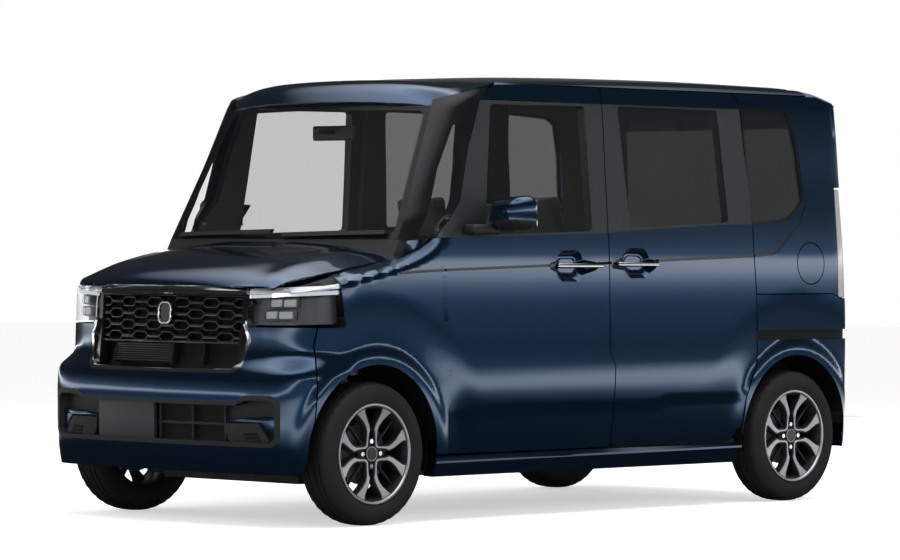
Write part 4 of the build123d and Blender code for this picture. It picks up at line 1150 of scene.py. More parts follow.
EDGE_U = tail_u(TAILGATE_X + HALF_GAP)
LAMP_U = along(1592)
arch_rear = arc_points((AXLES_Y[1], ARCH_Z), ARCH_RADIUS, 180, 0, ARCH_POINTS)
upper_quarter = (
    flank_u([(1056, 883), (1044, 1041), (1043, 1174), (1250, 1188), (1291, 1204), (1356, 1250)])
    + flank_u([(1384, 1283), (1357, 1493), (1321, 1626), (1266, 1655), (1000, 1668), (992, 1700)])
    + flank_u([(965, TOP_Z), (1500, TOP_Z), (1560, 1706)])
    + [(EDGE_U - 14, 1664), (EDGE_U, 1340), (LAMP_U - 4, 1334), (LAMP_U - 4, 862), (EDGE_U, 858)]
    + [(EDGE_U, 830), (along(1540), 883)]
)
lower_quarter = (
    flank_u([(1062, 728), (1056, 862), (1055, 878), (1541, 878)])
    + [(EDGE_U, 825), (EDGE_U, 728)]
)
rear_fender = (
    flank_u([(985, 446), (1025, 533), (1052, 583), (1063, 646), (1062, 688)])
    + [(EDGE_U, 688), (EDGE_U, 560), (OUTLINE_END, 556), (OUTLINE_END, BUMPER_FOOT_Z)]
    + flank_u([(1640, BUMPER_FOOT_Z), (1640, 232), (AXLES_Y[1] + ARCH_RADIUS - 1, 262)])
    + flank_u(reversed(arch_rear))
    + flank_u([(965, 300), (973, 353)])
)
QUARTER_WALL, FENDER_WALL = 30, 6
for side in HAND:
    quarter_holes = [flank_u(belt_groove)]
    if HAND[side] == "left":
        quarter_holes.append(round_lid(FUEL_LID_RADIUS + 5, 48))
    for name, outline, holes in (
        ("quarter_{}", upper_quarter, quarter_holes), ("quarter_lower_{}", lower_quarter, ()),
    ):
        round_panel(
            name, outline, QUARTER_WALL, paint, stands_for=("body_sides",), holes=holes, side=side,
            lining=cabin_lining,
        )
    round_panel(
        "rear_fender_{}", rear_fender, FENDER_WALL, paint, stands_for=("rear_bumper",), side=side,
        step=18,
    )
    side_panel(
        "quarter_glass_{}", rounded(quarter_window, QUARTER_RADII), PANE_WALL, privacy_glass,
        stands_for=("side_glass",), side=side, step=PANE_STEP, inward=8,
    )
    side_panel(
        "quarter_gasket_{}", rounded(quarter_rim, QUARTER_RADII), 5, gloss_black,
        holes=[rounded(quarter_hole, QUARTER_RADII)], side=side, step=30, inward=3,
    )
    for low, high, inward in ((262, 1128, 91), (1128, 1706, 45)):
        side_panel(
            f"centre_pillar_{low}_{{}}", [(112, low), (206, low), (206, high), (112, high)], 26,
            cabin_plastic, side=side, step=40, inward=inward,
        )
    for axle, axle_y, lip_end in zip(("front", "rear"), AXLES_Y, (158, 174)):
        inner, outer = (
            arc_points((axle_y, ARCH_Z), ARCH_RADIUS + further, 6, lip_end, 30)
            for further in (3, 26)
        )
        round_panel(
            f"arch_lip_{axle}_{{}}", [(u_at(z, y), z) for y, z in inner + outer[::-1]], 118,
            dark_plastic_and_shade, side=side, step=18, inward=6.5,
        )
FUEL_PARTS = (  # name, radius, points, wall, material, body, nodes, step, inward
    ("fuel_well", FUEL_LID_RADIUS + 16, 36, 4, black_plastic, "root", (), 24, 31),
    ("fuel_cap", 34, 24, 12, dark_plastic_and_shade, "root", (), 24, 18),
    ("fuel_lid_disc", FUEL_LID_RADIUS, 48, 8, paint, "fuel_lid", ("fuel_lid",), 12, 0),
)
for name, radius, points, wall, material, body, nodes, step, inward in FUEL_PARTS:
    outline = round_lid(radius, points)
    round_panel(name, outline, wall, material, body, nodes, step=step, inward=inward)
print("rear quarters are in place")

# %% [markdown]
# ### Wings, bumper, bonnet and roof
# The wing turns over into the bonnet along a soft shoulder. The bumper runs from one wing
# round the nose to the other. The bonnet and the roof have surfaces of their own.

# %% Bonnet
bonnet_profile = (
    (-1138, 1092), (-1200, 1083), (-1330, 1063), (-1440, 1039), (-1520, 1011), (-1575, 985),
    (-1612, 958),
    (-1632, 932), (-1637, 921),
)
profile_run = chord_stops(bonnet_profile)
BONNET_RUN = profile_run[-1]
profile_y = smooth_through(list(zip(profile_run, [p[0] for p in bonnet_profile])))
profile_z = smooth_through(list(zip(profile_run, [p[1] for p in bonnet_profile])))
edge_drop = smooth_through(
    ((0, 58), (60, 66), (160, 70), (270, 74), (400, 64), (470, 48), (540, 18), (BONNET_RUN, 0))
)


BONNET_HALF, BONNET_BOW = 664, 1.33e-4  # the bow is lengthwise, times x squared
RIDGE_X, RIDGE_WIDTH, RIDGE_HEIGHT = 520, 55, 6


def bonnet_surface(x, q):
    """The bonnet: x across and q along its middle line from the screen to the grille."""
    share = np.abs(x) / BONNET_HALF
    bow = BONNET_BOW * x * x * (1 + 0.33 * (1 - ease(0, 150, q)))
    across = np.exp(-(((np.abs(x) - RIDGE_X) / RIDGE_WIDTH) ** 2))
    ridge = RIDGE_HEIGHT * across * ease(0, 120, q) * (1 - ease(430, 560, q))
    z = profile_z(q) - edge_drop(q) * share**3.0 + ridge
    return np.stack([x, profile_y(q) + bow, z], axis=-1)


half_bonnet = [
    (0, 2), (500, 6), (640, 16), (657, 30), (661, 70), (657, 150), (645, 260), (628, 360),
    (604, 440),
    (585, 490), (560, 535), (505, 566), (440, BONNET_RUN),
]


def both_halves(half):
    """An outline from its right half and the mirror image of that."""
    return list(half) + [(-x, z) for x, z in reversed(half)]


bonnet_rim = [bonnet_surface(np.float64(x), np.float64(q)) for x, q in half_bonnet]
bm = lay_on(sheet(both_halves(half_bonnet[1:]), 16), bonnet_surface)
piece("bonnet_skin", thicken(bm, 8, NOSE_MIDDLE), paint, "bonnet", ("bonnet",))
print("bonnet rim points:", len(bonnet_rim))

# %% Wings and front bumper
arch_front = arc_points((AXLES_Y[0], ARCH_Z), ARCH_RADIUS, 0, 180, ARCH_POINTS)
BUMPER_SEAM = ((-1485, 776), (-1497, 700), (-1511, 560), (-1521, 440), (-1523, 414))
LAMP_REAR_Y = -1372
wing_top = [(float(p[1]), float(p[2]) - 1) for p in bonnet_rim if -1365 < p[1] < -1085]
wing_outline = (
    [
        (-872.6, 268), (-801, 264), (-810, 414), (-815, 750), (-827, 977), (-832, 1108),
        (-930, 1108), (-1010, 1092)
    ]
    + wing_top
    + [
        (LAMP_REAR_Y + 4, wing_top[-1][1] - 6), (LAMP_REAR_Y + 4, 764),
        (BUMPER_SEAM[0][0] + 4, 764)
    ]
    + [(y + HALF_GAP, z) for y, z in BUMPER_SEAM[1:]]
    + [p for p in reversed(arch_front) if -1519 < p[0] < -873]
)


def wrapped(points):
    """Side-view points as (outline distance, z), also where the skin turns to the nose."""
    return [(u_at(z, y), z) for y, z in points]


for side in HAND:
    round_panel(
        "wing_{}", wrapped(wing_outline), FENDER_WALL, paint, "root", ("wings",), side=side,
        step=15, holes=[wrapped(belt_groove)],
    )
print("wing outline points:", len(wing_outline))

# %% Front bumper

low_x = smooth_through([(p[0], u) for p, u in zip(low_plan, nose_run)])
high_x = smooth_through([(p[0], u) for p, u in zip(high_plan, nose_run)])


def nose_points(points):
    """Front-view points (x, z) as (outline distance, z)."""
    out = []
    for x, z in points:
        blend = float(ease(*PLAN_BLEND, z))
        u = float(low_x(abs(x))) * (1 - blend) + float(high_x(abs(x))) * blend
        out.append((u if x >= 0 else -u, z))
    return out


MOUTH = [(437, 772), (471, 722), (441, 612), (400, 588)]
LOWER_MOUTH = ((434, 481), (486, 507), (600, 508), (640, 486), (640, 336), (606, 310))
MOUTH_RADII = [16, 16, 20, 26, 26, 20]
intake_rim = rounded(nose_points(both_halves(LOWER_MOUTH)), MOUTH_RADII + MOUTH_RADII[::-1])
seam_below_lamp = wrapped([(y - HALF_GAP, z) for y, z in BUMPER_SEAM[1:]])
bumper_arch = wrapped([(y, z) for y, z in arch_front if y < -1530])
half_bumper = (
    nose_points([(437, 764)])
    + [(u_at(764, -1487), 764)]
    + seam_below_lamp
    + sorted(bumper_arch, key=lambda p: -p[1])
    + wrapped([(AXLES_Y[0] - ARCH_RADIUS, 262)])
    + [(u_at(232, -1560), 222), (u_at(222, -1590), 205)]
)
grille_mouth = nose_points([(-x, z) for x, z in MOUTH] + MOUTH[::-1])
bm = lay_on(sheet(both_halves(half_bumper) + grille_mouth, 16, [intake_rim]), skin)
piece("bumper_skin", thicken(bm, 7), paint, "root", ("front_bumper",))
print("bumper outline points:", len(half_bumper) * 2 + len(grille_mouth))

# %% Roof
SCREEN_BOW = 2.02e-4  # the screen lies back by this times x squared
crown = smooth_through((
    (-830, 1652), (-795, 1700), (-765, 1726), (-700, 1741), (-550, 1750), (-396, 1758), (77, 1778),
    (500, 1786), (900, 1789),
    (1420, 1785), (1500, 1780),
))


ROOF_HALF, CROWN_DROP, CORNER_DROP = 628, 36, 46
CHANNEL_X, CHANNEL_WIDTH, CHANNEL_DEPTH = 606, 9, 9  # the rain channel


def roof_surface(x, y):
    """The roof: bowed across and along, turning down at the rain channels and at the header."""
    share = np.abs(x) / ROOF_HALF
    header = ease(-830, -500, y)
    drop = CROWN_DROP * share**2.2 * (0.55 + 0.45 * header)
    drop = drop + CORNER_DROP * share**6 * (1 - ease(-800, -480, y))
    across = np.exp(-(((np.abs(x) - CHANNEL_X) / CHANNEL_WIDTH) ** 4))
    z = crown(y) - drop - CHANNEL_DEPTH * across * ease(-760, -640, y)
    return np.stack([x, y + SCREEN_BOW * x * x * (1 - ease(-830, -400, y)), z], axis=-1)


roof_outline = [
    (622, -760), (622, 1422), (-622, 1422), (-622, -760), (-586, -818), (-400, -829), (0, -830),
    (400, -829), (586, -818),
]
bm = lay_on(sheet(roof_outline, 24), roof_surface)
piece("roof_skin", thicken(bm, 8, ROOF_MIDDLE), paint, "root", ("roof",))
RAIL_WIDTH, RAIL_TOP_X, RAIL_HUMP = 60, 618.0, 5


def rail_surface(y, down):
    """The cant rail over the doors, from the rain channel down to the door tops."""
    share = down / RAIL_WIDTH
    top = roof_surface(np.full_like(y, RAIL_TOP_X), y)
    bottom = skin(along(y), np.full_like(y, TOP_Z + 5))
    points = top * (1 - share[..., None]) + bottom * share[..., None]
    hump = RAIL_HUMP * np.sin(pi * np.clip(share, 0, 1))
    points[..., 2] += hump
    points[..., 0] += hump * 0.8
    return points


rail_outline = [(-480, 0), (1422, 0), (1440, RAIL_WIDTH), (-455, RAIL_WIDTH)]
for side in HAND:
    bm = thicken(lay_on(sheet(rail_outline, (26, 12)), rail_surface), 20)
    piece("cant_rail_{}", bm, paint, "root", ("body_sides",), side=side)
print("roof is in place")

# %% [markdown]
# ### Glass at the front
# The windscreen is bowed about an axis that leans with it. A black printed border runs
# round it, and dark pillars stand between the screen and the doors, each with a fixed
# quarter window.

# %% Windscreen, pillars and cowl
SCREEN_FOOT = (-1110, 1085)
SCREEN_LEAN = 0.5118  # lengthwise per upright


def screen_surface(x, z, inward=0):
    """The windscreen: bowed across, leaning back; inward moves it along the car."""
    y = SCREEN_FOOT[0] + (z - SCREEN_FOOT[1]) * SCREEN_LEAN + SCREEN_BOW * x * x + inward
    return np.stack([x, y, z + 0 * x], axis=-1)


screen_edge = rounded(
    [
        (-646, 1108), (-560, 1090), (0, 1086), (560, 1090), (646, 1108), (574, 1636), (400, 1646),
        (0, 1651), (-400, 1646), (-574, 1636)
    ],
    [14, 30, 0, 30, 14, 26, 30, 0, 30, 26],
)
clear_area = rounded(
    [(-612, 1128), (0, 1112), (612, 1128), (548, 1612), (0, 1620), (-548, 1612)],
    [20, 60, 20, 40, 60, 40]
)
for name, material, holes, inward, wall, nodes in (
    ("windscreen_pane", clear_glass, [], 5, 5, ("windscreen",)),
    ("screen_border", gloss_black, [clear_area], 13, 1.5, ()),
):
    bm = lay_on(sheet(screen_edge, 30, holes), lambda x, z: screen_surface(x, z, inward))
    piece(name, thicken(bm, wall, CABIN_MIDDLE), material, "root", nodes)
print("screen outline points:", len(screen_edge))

# %% Front pillars

PILLAR_FOOT_Z, PILLAR_TOP_Z = 1100, 1655
DOOR_FRAME_FRONT = (  # share of the pillar's length, y, z
    (0, -832, 1111), (0.27, -699, 1259), (0.62, -643, 1457), (0.93, -557, 1663), (1, -500, 1708),
)
PILLAR_LONG, PILLAR_WIDE = 1000, 300  # the size of its flat pattern


def pillar_surface(up_pillar, round_pillar):
    """The front pillar, from the screen's edge round to the front of the door's frame."""
    t = np.clip(up_pillar / PILLAR_LONG, 0, 1)
    s = (round_pillar / PILLAR_WIDE)[..., None]
    z_in = PILLAR_FOOT_Z + t * (PILLAR_TOP_Z - PILLAR_FOOT_Z)
    inner = screen_surface(652 - (z_in - 1104) * 0.1365, z_in)
    shares, frame_y, frame_z = zip(*DOOR_FRAME_FRONT)
    y_out, z_out = np.interp(t, shares, frame_y), np.interp(t, shares, frame_z)
    outer = skin(along(y_out), z_out)
    corner_y = np.minimum(inner[..., 1] + 45 + 50 * (1 - t), y_out)
    corner = np.stack([outer[..., 0] - 2 - 6 * t, corner_y, 0.55 * z_in + 0.45 * z_out], axis=-1)
    return inner * (1 - s) ** 2 + 2 * corner * s * (1 - s) + outer * s * s


pillar_outline = [(0, 0), (PILLAR_LONG, 0), (PILLAR_LONG, PILLAR_WIDE), (0, PILLAR_WIDE)]
pillar_window = rounded(
    [(20, 125), (20, 262), (500, 230), (800, 180), (785, 160), (500, 124)], [20, 30, 0, 6, 6, 0]
)
PILLAR_STEP = (33, 25)
for side in HAND:
    bm = lay_on(sheet(pillar_outline, PILLAR_STEP, [pillar_window]), pillar_surface)
    thicken(bm, 14, PILLAR_MIDDLE)
    piece("front_pillar_{}", bm, gloss_black, "root", ("body_sides",), side=side)
    bm = point_outwards(lay_on(sheet(pillar_window, PILLAR_STEP), pillar_surface, 5))
    piece("front_quarter_glass_{}", bm, clear_glass, "root", ("side_glass",), side=side)
print("pillars are in place")

# %% [markdown]
# ## Lamps
# Each headlamp has a clear cover that follows the skin. Behind it lie a dark housing, a
# bright running-light bar along the top and two lamp units with square lenses.

# %% Headlamps
lamp_rim = sorted(
    (u_at(float(p[2]) - 5, float(p[1])), float(p[2])) for p in bonnet_rim if p[1] < -1360
)
LAMP_TOP = smooth_through([(430, 927)] + [(u, z) for u, z in lamp_rim if u > 470])
lamp_corner_u = u_at(850, -1376)


def lamp_edges(inset):
    """The outline of a headlamp cover, moved inwards."""
    inner = nose_points([(440 + inset, 772 + inset), (440 + inset, 922 - inset)])
    top = [
        (u, float(LAMP_TOP(u)) - 4 - inset)
        for u in np.linspace(inner[1][0] + 40, lamp_corner_u - inset - 8, 7)
    ]
    foot = [(u_at(772, -1372) - inset, 774 + inset)]
    return [inner[0], *foot, (lamp_corner_u - inset, 800), *reversed(top), inner[1]]


def lamp_sheet(name, outline, inward, wall, material, step=18, holes=()):
    """A piece of both headlamps, laid behind the skin."""
    bm = lay_on(sheet(outline, step, holes), skin, inward)
    thicken(bm, wall)
    add_mirror_image(bm)
    return piece(name, bm, material, "root", ("headlamps", "headlamp_lenses"))


def lamp_bar(name, low, high, inward, wall, material):
    """A bar across both lamps; low and high are its heights at the nose and at the corner."""
    nose_u, corner_u = nose_points([(446, 900)])[0][0], lamp_corner_u - 20
    outline = [(nose_u, low[0]), (corner_u, low[1]), (corner_u, high[1]), (nose_u, high[0])]
    lamp_sheet(name, outline, inward, wall, material, 12)


lamp_sheet("lamp_cover", rounded(lamp_edges(0), 8), 1, 3, lamp_clear)
lamp_sheet("lamp_housing", rounded(lamp_edges(3), 8), 52, 6, lamp_inside)
lamp_bar("running_light", (893, 914), (918, 936), 10, 20, drl_white)
lamp_bar("lamp_upper_trim", (876, 892), (889, 908), 14, 30, chrome)
LAMP_UNITS = ((858, 545, 650), (812, 520, 640))  # height, and x from and to
LENS_STARTS, LENS_SHARE = (0.03, 0.53), 0.42  # shares of a unit's width
for row, (z, start, end) in enumerate(LAMP_UNITS):
    from_u, to_u = (u for u, _ in nose_points([(start, z), (end, z)]))
    frame_edge = [
        (from_u - 8, z - 21), (to_u + 8, z - 17), (to_u + 8, z + 21), (from_u - 8, z + 17)
    ]
    lamp_sheet(f"lamp_frame_{row}", rounded(frame_edge, 8), 26, 20, alloy_dark, 12)
    for half, share in enumerate(LENS_STARTS):
        a = from_u + (to_u - from_u) * share
        b = a + (to_u - from_u) * LENS_SHARE
        lens = rounded([(a, z - 14), (b, z - 12), (b, z + 15), (a, z + 13)], 6)
        lamp_sheet(f"lamp_lens_{row}_{half}", lens, 20, 8, lens_grey, 10)
print("headlamps are in place")

# %% [markdown]
# ## Wheels and tyres
# The wheels are cast and painted dark, and their front faces are turned bright on a
# lathe. Two spokes stand beside each wheel nut; a narrow bright line joins each spoke to
# its neighbour round the corner of the hub.

# %% Turned shapes
def turned(profile, segments=96, ridge=None):
    """A ring turned about X from (x, radius) points; ridge changes radii at each angle."""
    bm = bmesh.new()
    profile = np.array(profile, float)
    rings = []
    for k in range(segments):
        s, c = sin(2 * pi * k / segments), cos(2 * pi * k / segments)
        radii = profile[:, 1] if ridge is None else ridge(profile, k)
        rings.append([bm.verts.new((x, r * s, r * c)) for x, r in zip(profile[:, 0], radii)])
    for here, following in zip(rings, rings[1:] + rings[:1]):
        for a in range(len(profile)):
            b = (a + 1) % len(profile)
            bm.faces.new((here[a], here[b], following[b], following[a]))
    bmesh.ops.recalc_face_normals(bm, faces=bm.faces)
    return bm


def turn_shape(bm, angle, axis):
    """Turn a whole shape about an axis through the origin."""
    bmesh.ops.rotate(bm, verts=bm.verts, matrix=Matrix.Rotation(angle, 3, axis))
    return bm


def disc(radius, x_from, x_to, segments=32, place=(0, 0)):
    """A closed disc across X."""
    bm = bmesh.new()
    bmesh.ops.create_cone(
        bm, cap_ends=True, segments=segments, radius1=radius, radius2=radius, depth=x_to - x_from
    )
    turn_shape(bm, pi / 2, "Y")
    bmesh.ops.translate(bm, verts=bm.verts, vec=((x_from + x_to) / 2, *place))
    return bm


TYRE_RADIUS = 278
tyre_side = (
    (66, 178), (67, 190), (69.5, 197), (74, 208), (76.5, 220), (77.4, 231), (76.4, 244), (73, 256),
    (68, 265), (62, 270.5)
)
tread = (
    (54, 273.6), (45, 275.4), (44.5, 270), (39.5, 270), (39, 276.2), (22, 277.4), (21.5, 271),
    (16.5, 271), (16, 277.8), (0, 278)
)
tyre_profile = both_halves(tyre_side + tread)
tyre_profile.remove((0, TYRE_RADIUS))  # the middle of the tread stands there twice
SIPE_EVERY, SIPE_DEPTH = 3, 4


def tread_ridge(profile, k):
    """Cross grooves on the shoulders of the tread."""
    radii = profile[:, 1].copy()
    shoulder = (np.abs(profile[:, 0]) > 44) & (radii > 268)
    if k % SIPE_EVERY == 0:
        radii[shoulder] -= SIPE_DEPTH
    return radii


FACE_RADIUS = 188
nut_side = (
    (-0.262, 0.955), (-0.245, 0.84), (-0.175, 0.72), (-0.105, 0.60), (-0.068, 0.49),
    (-0.096, 0.41), (-0.106, 0.30), (-0.110, 0.20), (-0.122, 0.152), (-0.140, 0.140)
)
open_side = (
    (-0.515, 0.845), (-0.42, 0.79), (-0.275, 0.68), (-0.185, 0.57), (-0.142, 0.47), (-0.136, 0.40),
    (-0.138, 0.30), (-0.142, 0.22), (-0.152, 0.182), (-0.166, 0.166)
)


def spoke_face_x(radius):
    """The dished front face of the wheel."""
    return 55 + 13 * (radius / FACE_RADIUS) ** 2


def spoke_ribbon(grow, set_back, wall):
    """One bright line: a spoke, the corner of the hub and the next spoke out again."""
    bm = bmesh.new()
    rows = []
    stations = list(zip(nut_side, open_side))
    stations += [((-n[1], -n[0]), (-o[1], -o[0])) for n, o in reversed(stations[:-1])]
    for near, far in stations:
        a, b = Vector(near) * FACE_RADIUS, Vector(far) * FACE_RADIUS
        push = (b - a).normalized() * grow
        row = []
        for spot in (a - push, b + push):
            row.append(bm.verts.new((spoke_face_x(spot.length) - set_back, -spot.x, spot.y)))
        rows.append(row)
    for one, two in zip(rows, rows[1:]):
        bm.faces.new((one[0], one[1], two[1], two[0]))
    bm.normal_update()
    if sum(f.normal.x for f in bm.faces) < 0:
        bmesh.ops.reverse_faces(bm, faces=bm.faces)
    return back_with(bm, lambda vert: Vector((-wall, 0, 0)))


def four_round(build):
    """Four copies of a shape, a quarter turn apart about X."""
    bm = bmesh.new()
    for quarter in range(4):
        join(bm, turn_shape(build(), quarter * pi / 2, "X"))
    return bm


def thin_spoke():
    """A narrow dark spoke in the middle of the wide window."""
    return turn_shape(rounded_block((16, 9, 118), (36, 0, 116), 2.5, 2), pi / 4, "X")


def wheel_nut():
    """A wheel nut in its place."""
    return disc(9.5, 39, 55, 6, (0, 48))


BARREL = (
    (66, 186), (69, 182), (60, 176), (30, 170), (-40, 168), (-62, 172), (-70, 186), (-72, 186),
    (-62, 178), (-40, 174.5), (30, 175.5), (62, 178),
)
LIP = ((73.4, 194), (74, 192.5), (73, 187), (68.5, 184), (66, 186), (67, 194))
CAP_RING = ((54, 29), (57, 28), (57, 26), (54, 25.5))


def dark_parts():
    """The painted casting: barrel, spoke bodies, hub and thin spokes."""
    bm = turned(BARREL, 72)
    join(bm, four_round(lambda: spoke_ribbon(5.5, 3, 30)))
    join(bm, four_round(thin_spoke))
    join(bm, disc(62, 8, 42, 48))
    return bm


def cap():
    """The plain cap over the hub."""
    return join(disc(26, 38, 55, 40), disc(21, 55, 57, 40))


def brake():
    """The brake disc and its hub."""
    return join(disc(120, -8, 4, 48), disc(66, 4, 22, 40))


wheel_parts = (  # name, shape, material, node, how steep an edge stays sharp
    ("tyre", lambda: turned(tyre_profile, 120, tread_ridge), rubber, "tyre", 28),
    ("casting", dark_parts, alloy_dark, "wheel", 35),
    ("bright_face", lambda: four_round(lambda: spoke_ribbon(0, 0, 4)), alloy, "wheel", 35),
    ("lip", lambda: turned(LIP, 96), alloy, "wheel", 40),
    ("nuts", lambda: four_round(wheel_nut), chrome, "wheel", 30),
    ("cap", cap, gloss_black, "wheel", 30),
    ("cap_ring", lambda: turned(CAP_RING, 48), alloy, "wheel", 30),
    ("brake_disc", brake, cast_metal, "wheel", 30),
)
TRACK_HALF = 652.5
for axle_y, axle in zip(AXLES_Y, ("front", "rear")):
    for side, hand in HAND.items():
        corner, place = f"{axle}_{hand}", (side * TRACK_HALF, axle_y, TYRE_RADIUS)
        for part_name, build, material, node, sharp in wheel_parts:
            bm = build() if side > 0 else turn_shape(build(), pi, "Z")
            bmesh.ops.translate(bm, verts=bm.verts, vec=place)
            nodes = (f"{node}_{corner}",)
            piece(f"{part_name}_{corner}", bm, material, f"wheel_{corner}", nodes, sharp)
print("wheels and tyres are in place")

# %% [markdown]
# ## Mirrors
# A painted shell sits on a black base; the base carries a foot on the door.

# %% Door mirrors
MIRROR_X, MIRROR_Y, MIRROR_Z = MIRROR_PLACE = (842, -572, 1208)
MIRROR_SIZE = (182, 128, 138)
MIRROR_SEAM_Z, SEAM_HALF_GAP = 1177, 1
MIRROR_RAKE, MIRROR_LIFT = 14, 6  # the outer end lies further back and higher
FOOT_JOINT_X, FOOT_JOINT_Z = 728, 1120


def mirror_shell():
    """A pillow-shaped housing, narrower towards the front."""
    bm = rounded_block(MIRROR_SIZE, (0, 0, 0), 44, 7)
    for vert in bm.verts:
        front = max(0, 0.5 - vert.co.y / MIRROR_SIZE[1])
        vert.co.x *= 1 - 0.16 * front**2
        vert.co.z *= 1 - 0.20 * front**2
        outer = vert.co.x / (MIRROR_SIZE[0] / 2)
        vert.co.z += MIRROR_LIFT * outer - 2 * front
        vert.co.y += MIRROR_RAKE * outer * (1 - front)
    bmesh.ops.translate(bm, verts=bm.verts, vec=MIRROR_PLACE)
    return bm


def mirror_half(upper):
    """The part of the housing over or under its seam."""
    bm = mirror_shell()
    seam = (MIRROR_X, MIRROR_Y, MIRROR_SEAM_Z + (-SEAM_HALF_GAP if upper else SEAM_HALF_GAP))
    bmesh.ops.bisect_plane(
        bm, geom=everything(bm), plane_co=seam, plane_no=(-0.06, 0.05, 1), clear_inner=upper,
        clear_outer=not upper,
    )
    bmesh.ops.holes_fill(bm, edges=[e for e in bm.edges if e.is_boundary])
    bmesh.ops.recalc_face_normals(bm, faces=bm.faces)
    return bm


def mirror_foot():
    """The arm under the housing and the plate on the door, which leans with the pillar."""
    bm = rounded_block((74, 150, 42), (755, -655, 1144), 16, 4)
    join(bm, rounded_block((20, 190, 130), (715, -712, 1180), 9, 4))
    for vert in bm.verts:
        if vert.co.x < FOOT_JOINT_X:
            vert.co.y += 0.75 * (vert.co.z - FOOT_JOINT_Z)
            vert.co.x -= 0.10 * (vert.co.z - FOOT_JOINT_Z)
    return bm


for side in HAND:
    glass = rounded_block((146, 3, 104), (MIRROR_X, MIRROR_Y + 66, MIRROR_Z + 2), 1.2, 2)
    lamp = rounded_block((62, 14, 60), (MIRROR_X - 52, MIRROR_Y - 52, 1172), 6, 3)
    for name, bm, material in (
        ("mirror_cap_{}", mirror_half(True), paint),
        ("mirror_base_{}", mirror_half(False), black_plastic),
        ("mirror_face_{}", glass, mirror_glass),
        ("mirror_foot_{}", mirror_foot(), black_plastic),
        ("mirror_lamp_{}", lamp, lamp_clear),
    ):
        piece(name, bm, material, "front_door_{}", ("door_mirror_{}",), side=side)
print("mirrors are in place")

# %% [markdown]
# ## Grille and lower intake
# The grille is a mesh of flat six-sided rings joined by bars, every row half a pitch from
# the next. A chrome bar closes it at the top and a chrome channel runs round its mouth.
# The badge's place holds a plain ring.

# %% Grille
def patches(polygons, rings=(), inward=0, wall=8, bevel=0.0):
    """Patches and rings laid on the nose from (x, z) outlines, with a wall and soft edges."""
    bm = bmesh.new()
    for polygon in polygons:
        bm.faces.new([bm.verts.new((*p, 0)) for p in nose_points(polygon)])
    for outer, inner in rings:
        outside = [bm.verts.new((*p, 0)) for p in nose_points(outer)]
        within = [bm.verts.new((*p, 0)) for p in nose_points(inner)]
        for a in range(len(outer)):
            b = (a + 1) % len(outer)
            bm.faces.new((outside[a], outside[b], within[b], within[a]))
    bmesh.ops.remove_doubles(bm, verts=bm.verts, dist=0.01)
    point_outwards(lay_on(bm, skin))
    bmesh.ops.translate(bm, verts=bm.verts, vec=(0, inward, 0))
    front_edges = [e for e in bm.edges if e.is_boundary]
    back_with(bm, lambda vert: Vector((0, wall, 0)))
    if bevel:
        bmesh.ops.bevel(
            bm, geom=front_edges, offset=bevel, segments=2, profile=0.6, affect="EDGES"
        )
    bm.normal_update()
    return bm


def on_nose(name, bm, material, node="grille"):
    """A piece of the nose that stands for a node."""
    return piece(name, bm, material, "root", (node,))


def box_outline(x_from, z_from, x_to, z_to):
    """A rectangle seen from the front."""
    return [(x_from, z_from), (x_to, z_from), (x_to, z_to), (x_from, z_to)]


def each_side(outlines):
    """Outlines of the left half of the nose, then their mirror images."""
    return [[(sign * x, z) for x, z in outline] for sign in (1, -1) for outline in outlines]


def long_strip(x_from, x_to, z_low, z_high, pieces=16):
    """Rectangles in a row, so that a long bar follows the bowed nose."""
    xs = np.linspace(x_from, x_to, pieces + 1)
    return [box_outline(a, z_low, b, z_high) for a, b in zip(xs, xs[1:])]


def hexagon(x, z, width, height):
    """A flat six-sided outline with pointed ends."""
    tip, half = width / 2, height / 2
    flat = tip - height * 0.55
    upper = [(x + tip, z), (x + flat, z + half), (x - flat, z + half)]
    return upper + [(x - tip, z), (x - flat, z - half), (x + flat, z - half)]


MESH_PITCH, MESH_ROWS_Z = 160, (856, 811, 767, 723)
RING_SIZE, RING_HOLE = (104, 42), (84, 27)
BAR_OVERLAP, BAR_HALF, SHORTEST_BAR = 4, 7, 12
MESH_HALF = 412
mesh_back = [(MESH_HALF + 18, 888), (MESH_HALF + 18, 775), (452, 722), (428, 622), (396, 606)]
bm = lay_on(sheet(nose_points(both_halves(mesh_back)), 40), skin, 62)
on_nose("grille_backing", thicken(bm, 4), dark_plastic_and_shade)
bars, rings = [], []
for row, z in enumerate(MESH_ROWS_Z):
    shift = MESH_PITCH / 2 if row % 2 == 0 else 0
    centres = [k * MESH_PITCH + shift for k in range(-3, 4)]
    centres = [c for c in centres if abs(c) < MESH_HALF - 8]
    rings += [(hexagon(c, z, *RING_SIZE), hexagon(c, z, *RING_HOLE)) for c in centres]
    reach = RING_SIZE[0] / 2 - BAR_OVERLAP
    ends = [-MESH_HALF] + [c + way * reach for c in centres for way in (-1, 1)] + [MESH_HALF]
    for a, b in zip(ends[::2], ends[1::2]):
        if b - a > SHORTEST_BAR:
            bars.append(box_outline(a, z - BAR_HALF, b, z + BAR_HALF))
on_nose("grille_mesh", patches(bars, rings, 22, 26, 3.2), gloss_black)
print("grille rings:", len(rings), "bars:", len(bars))

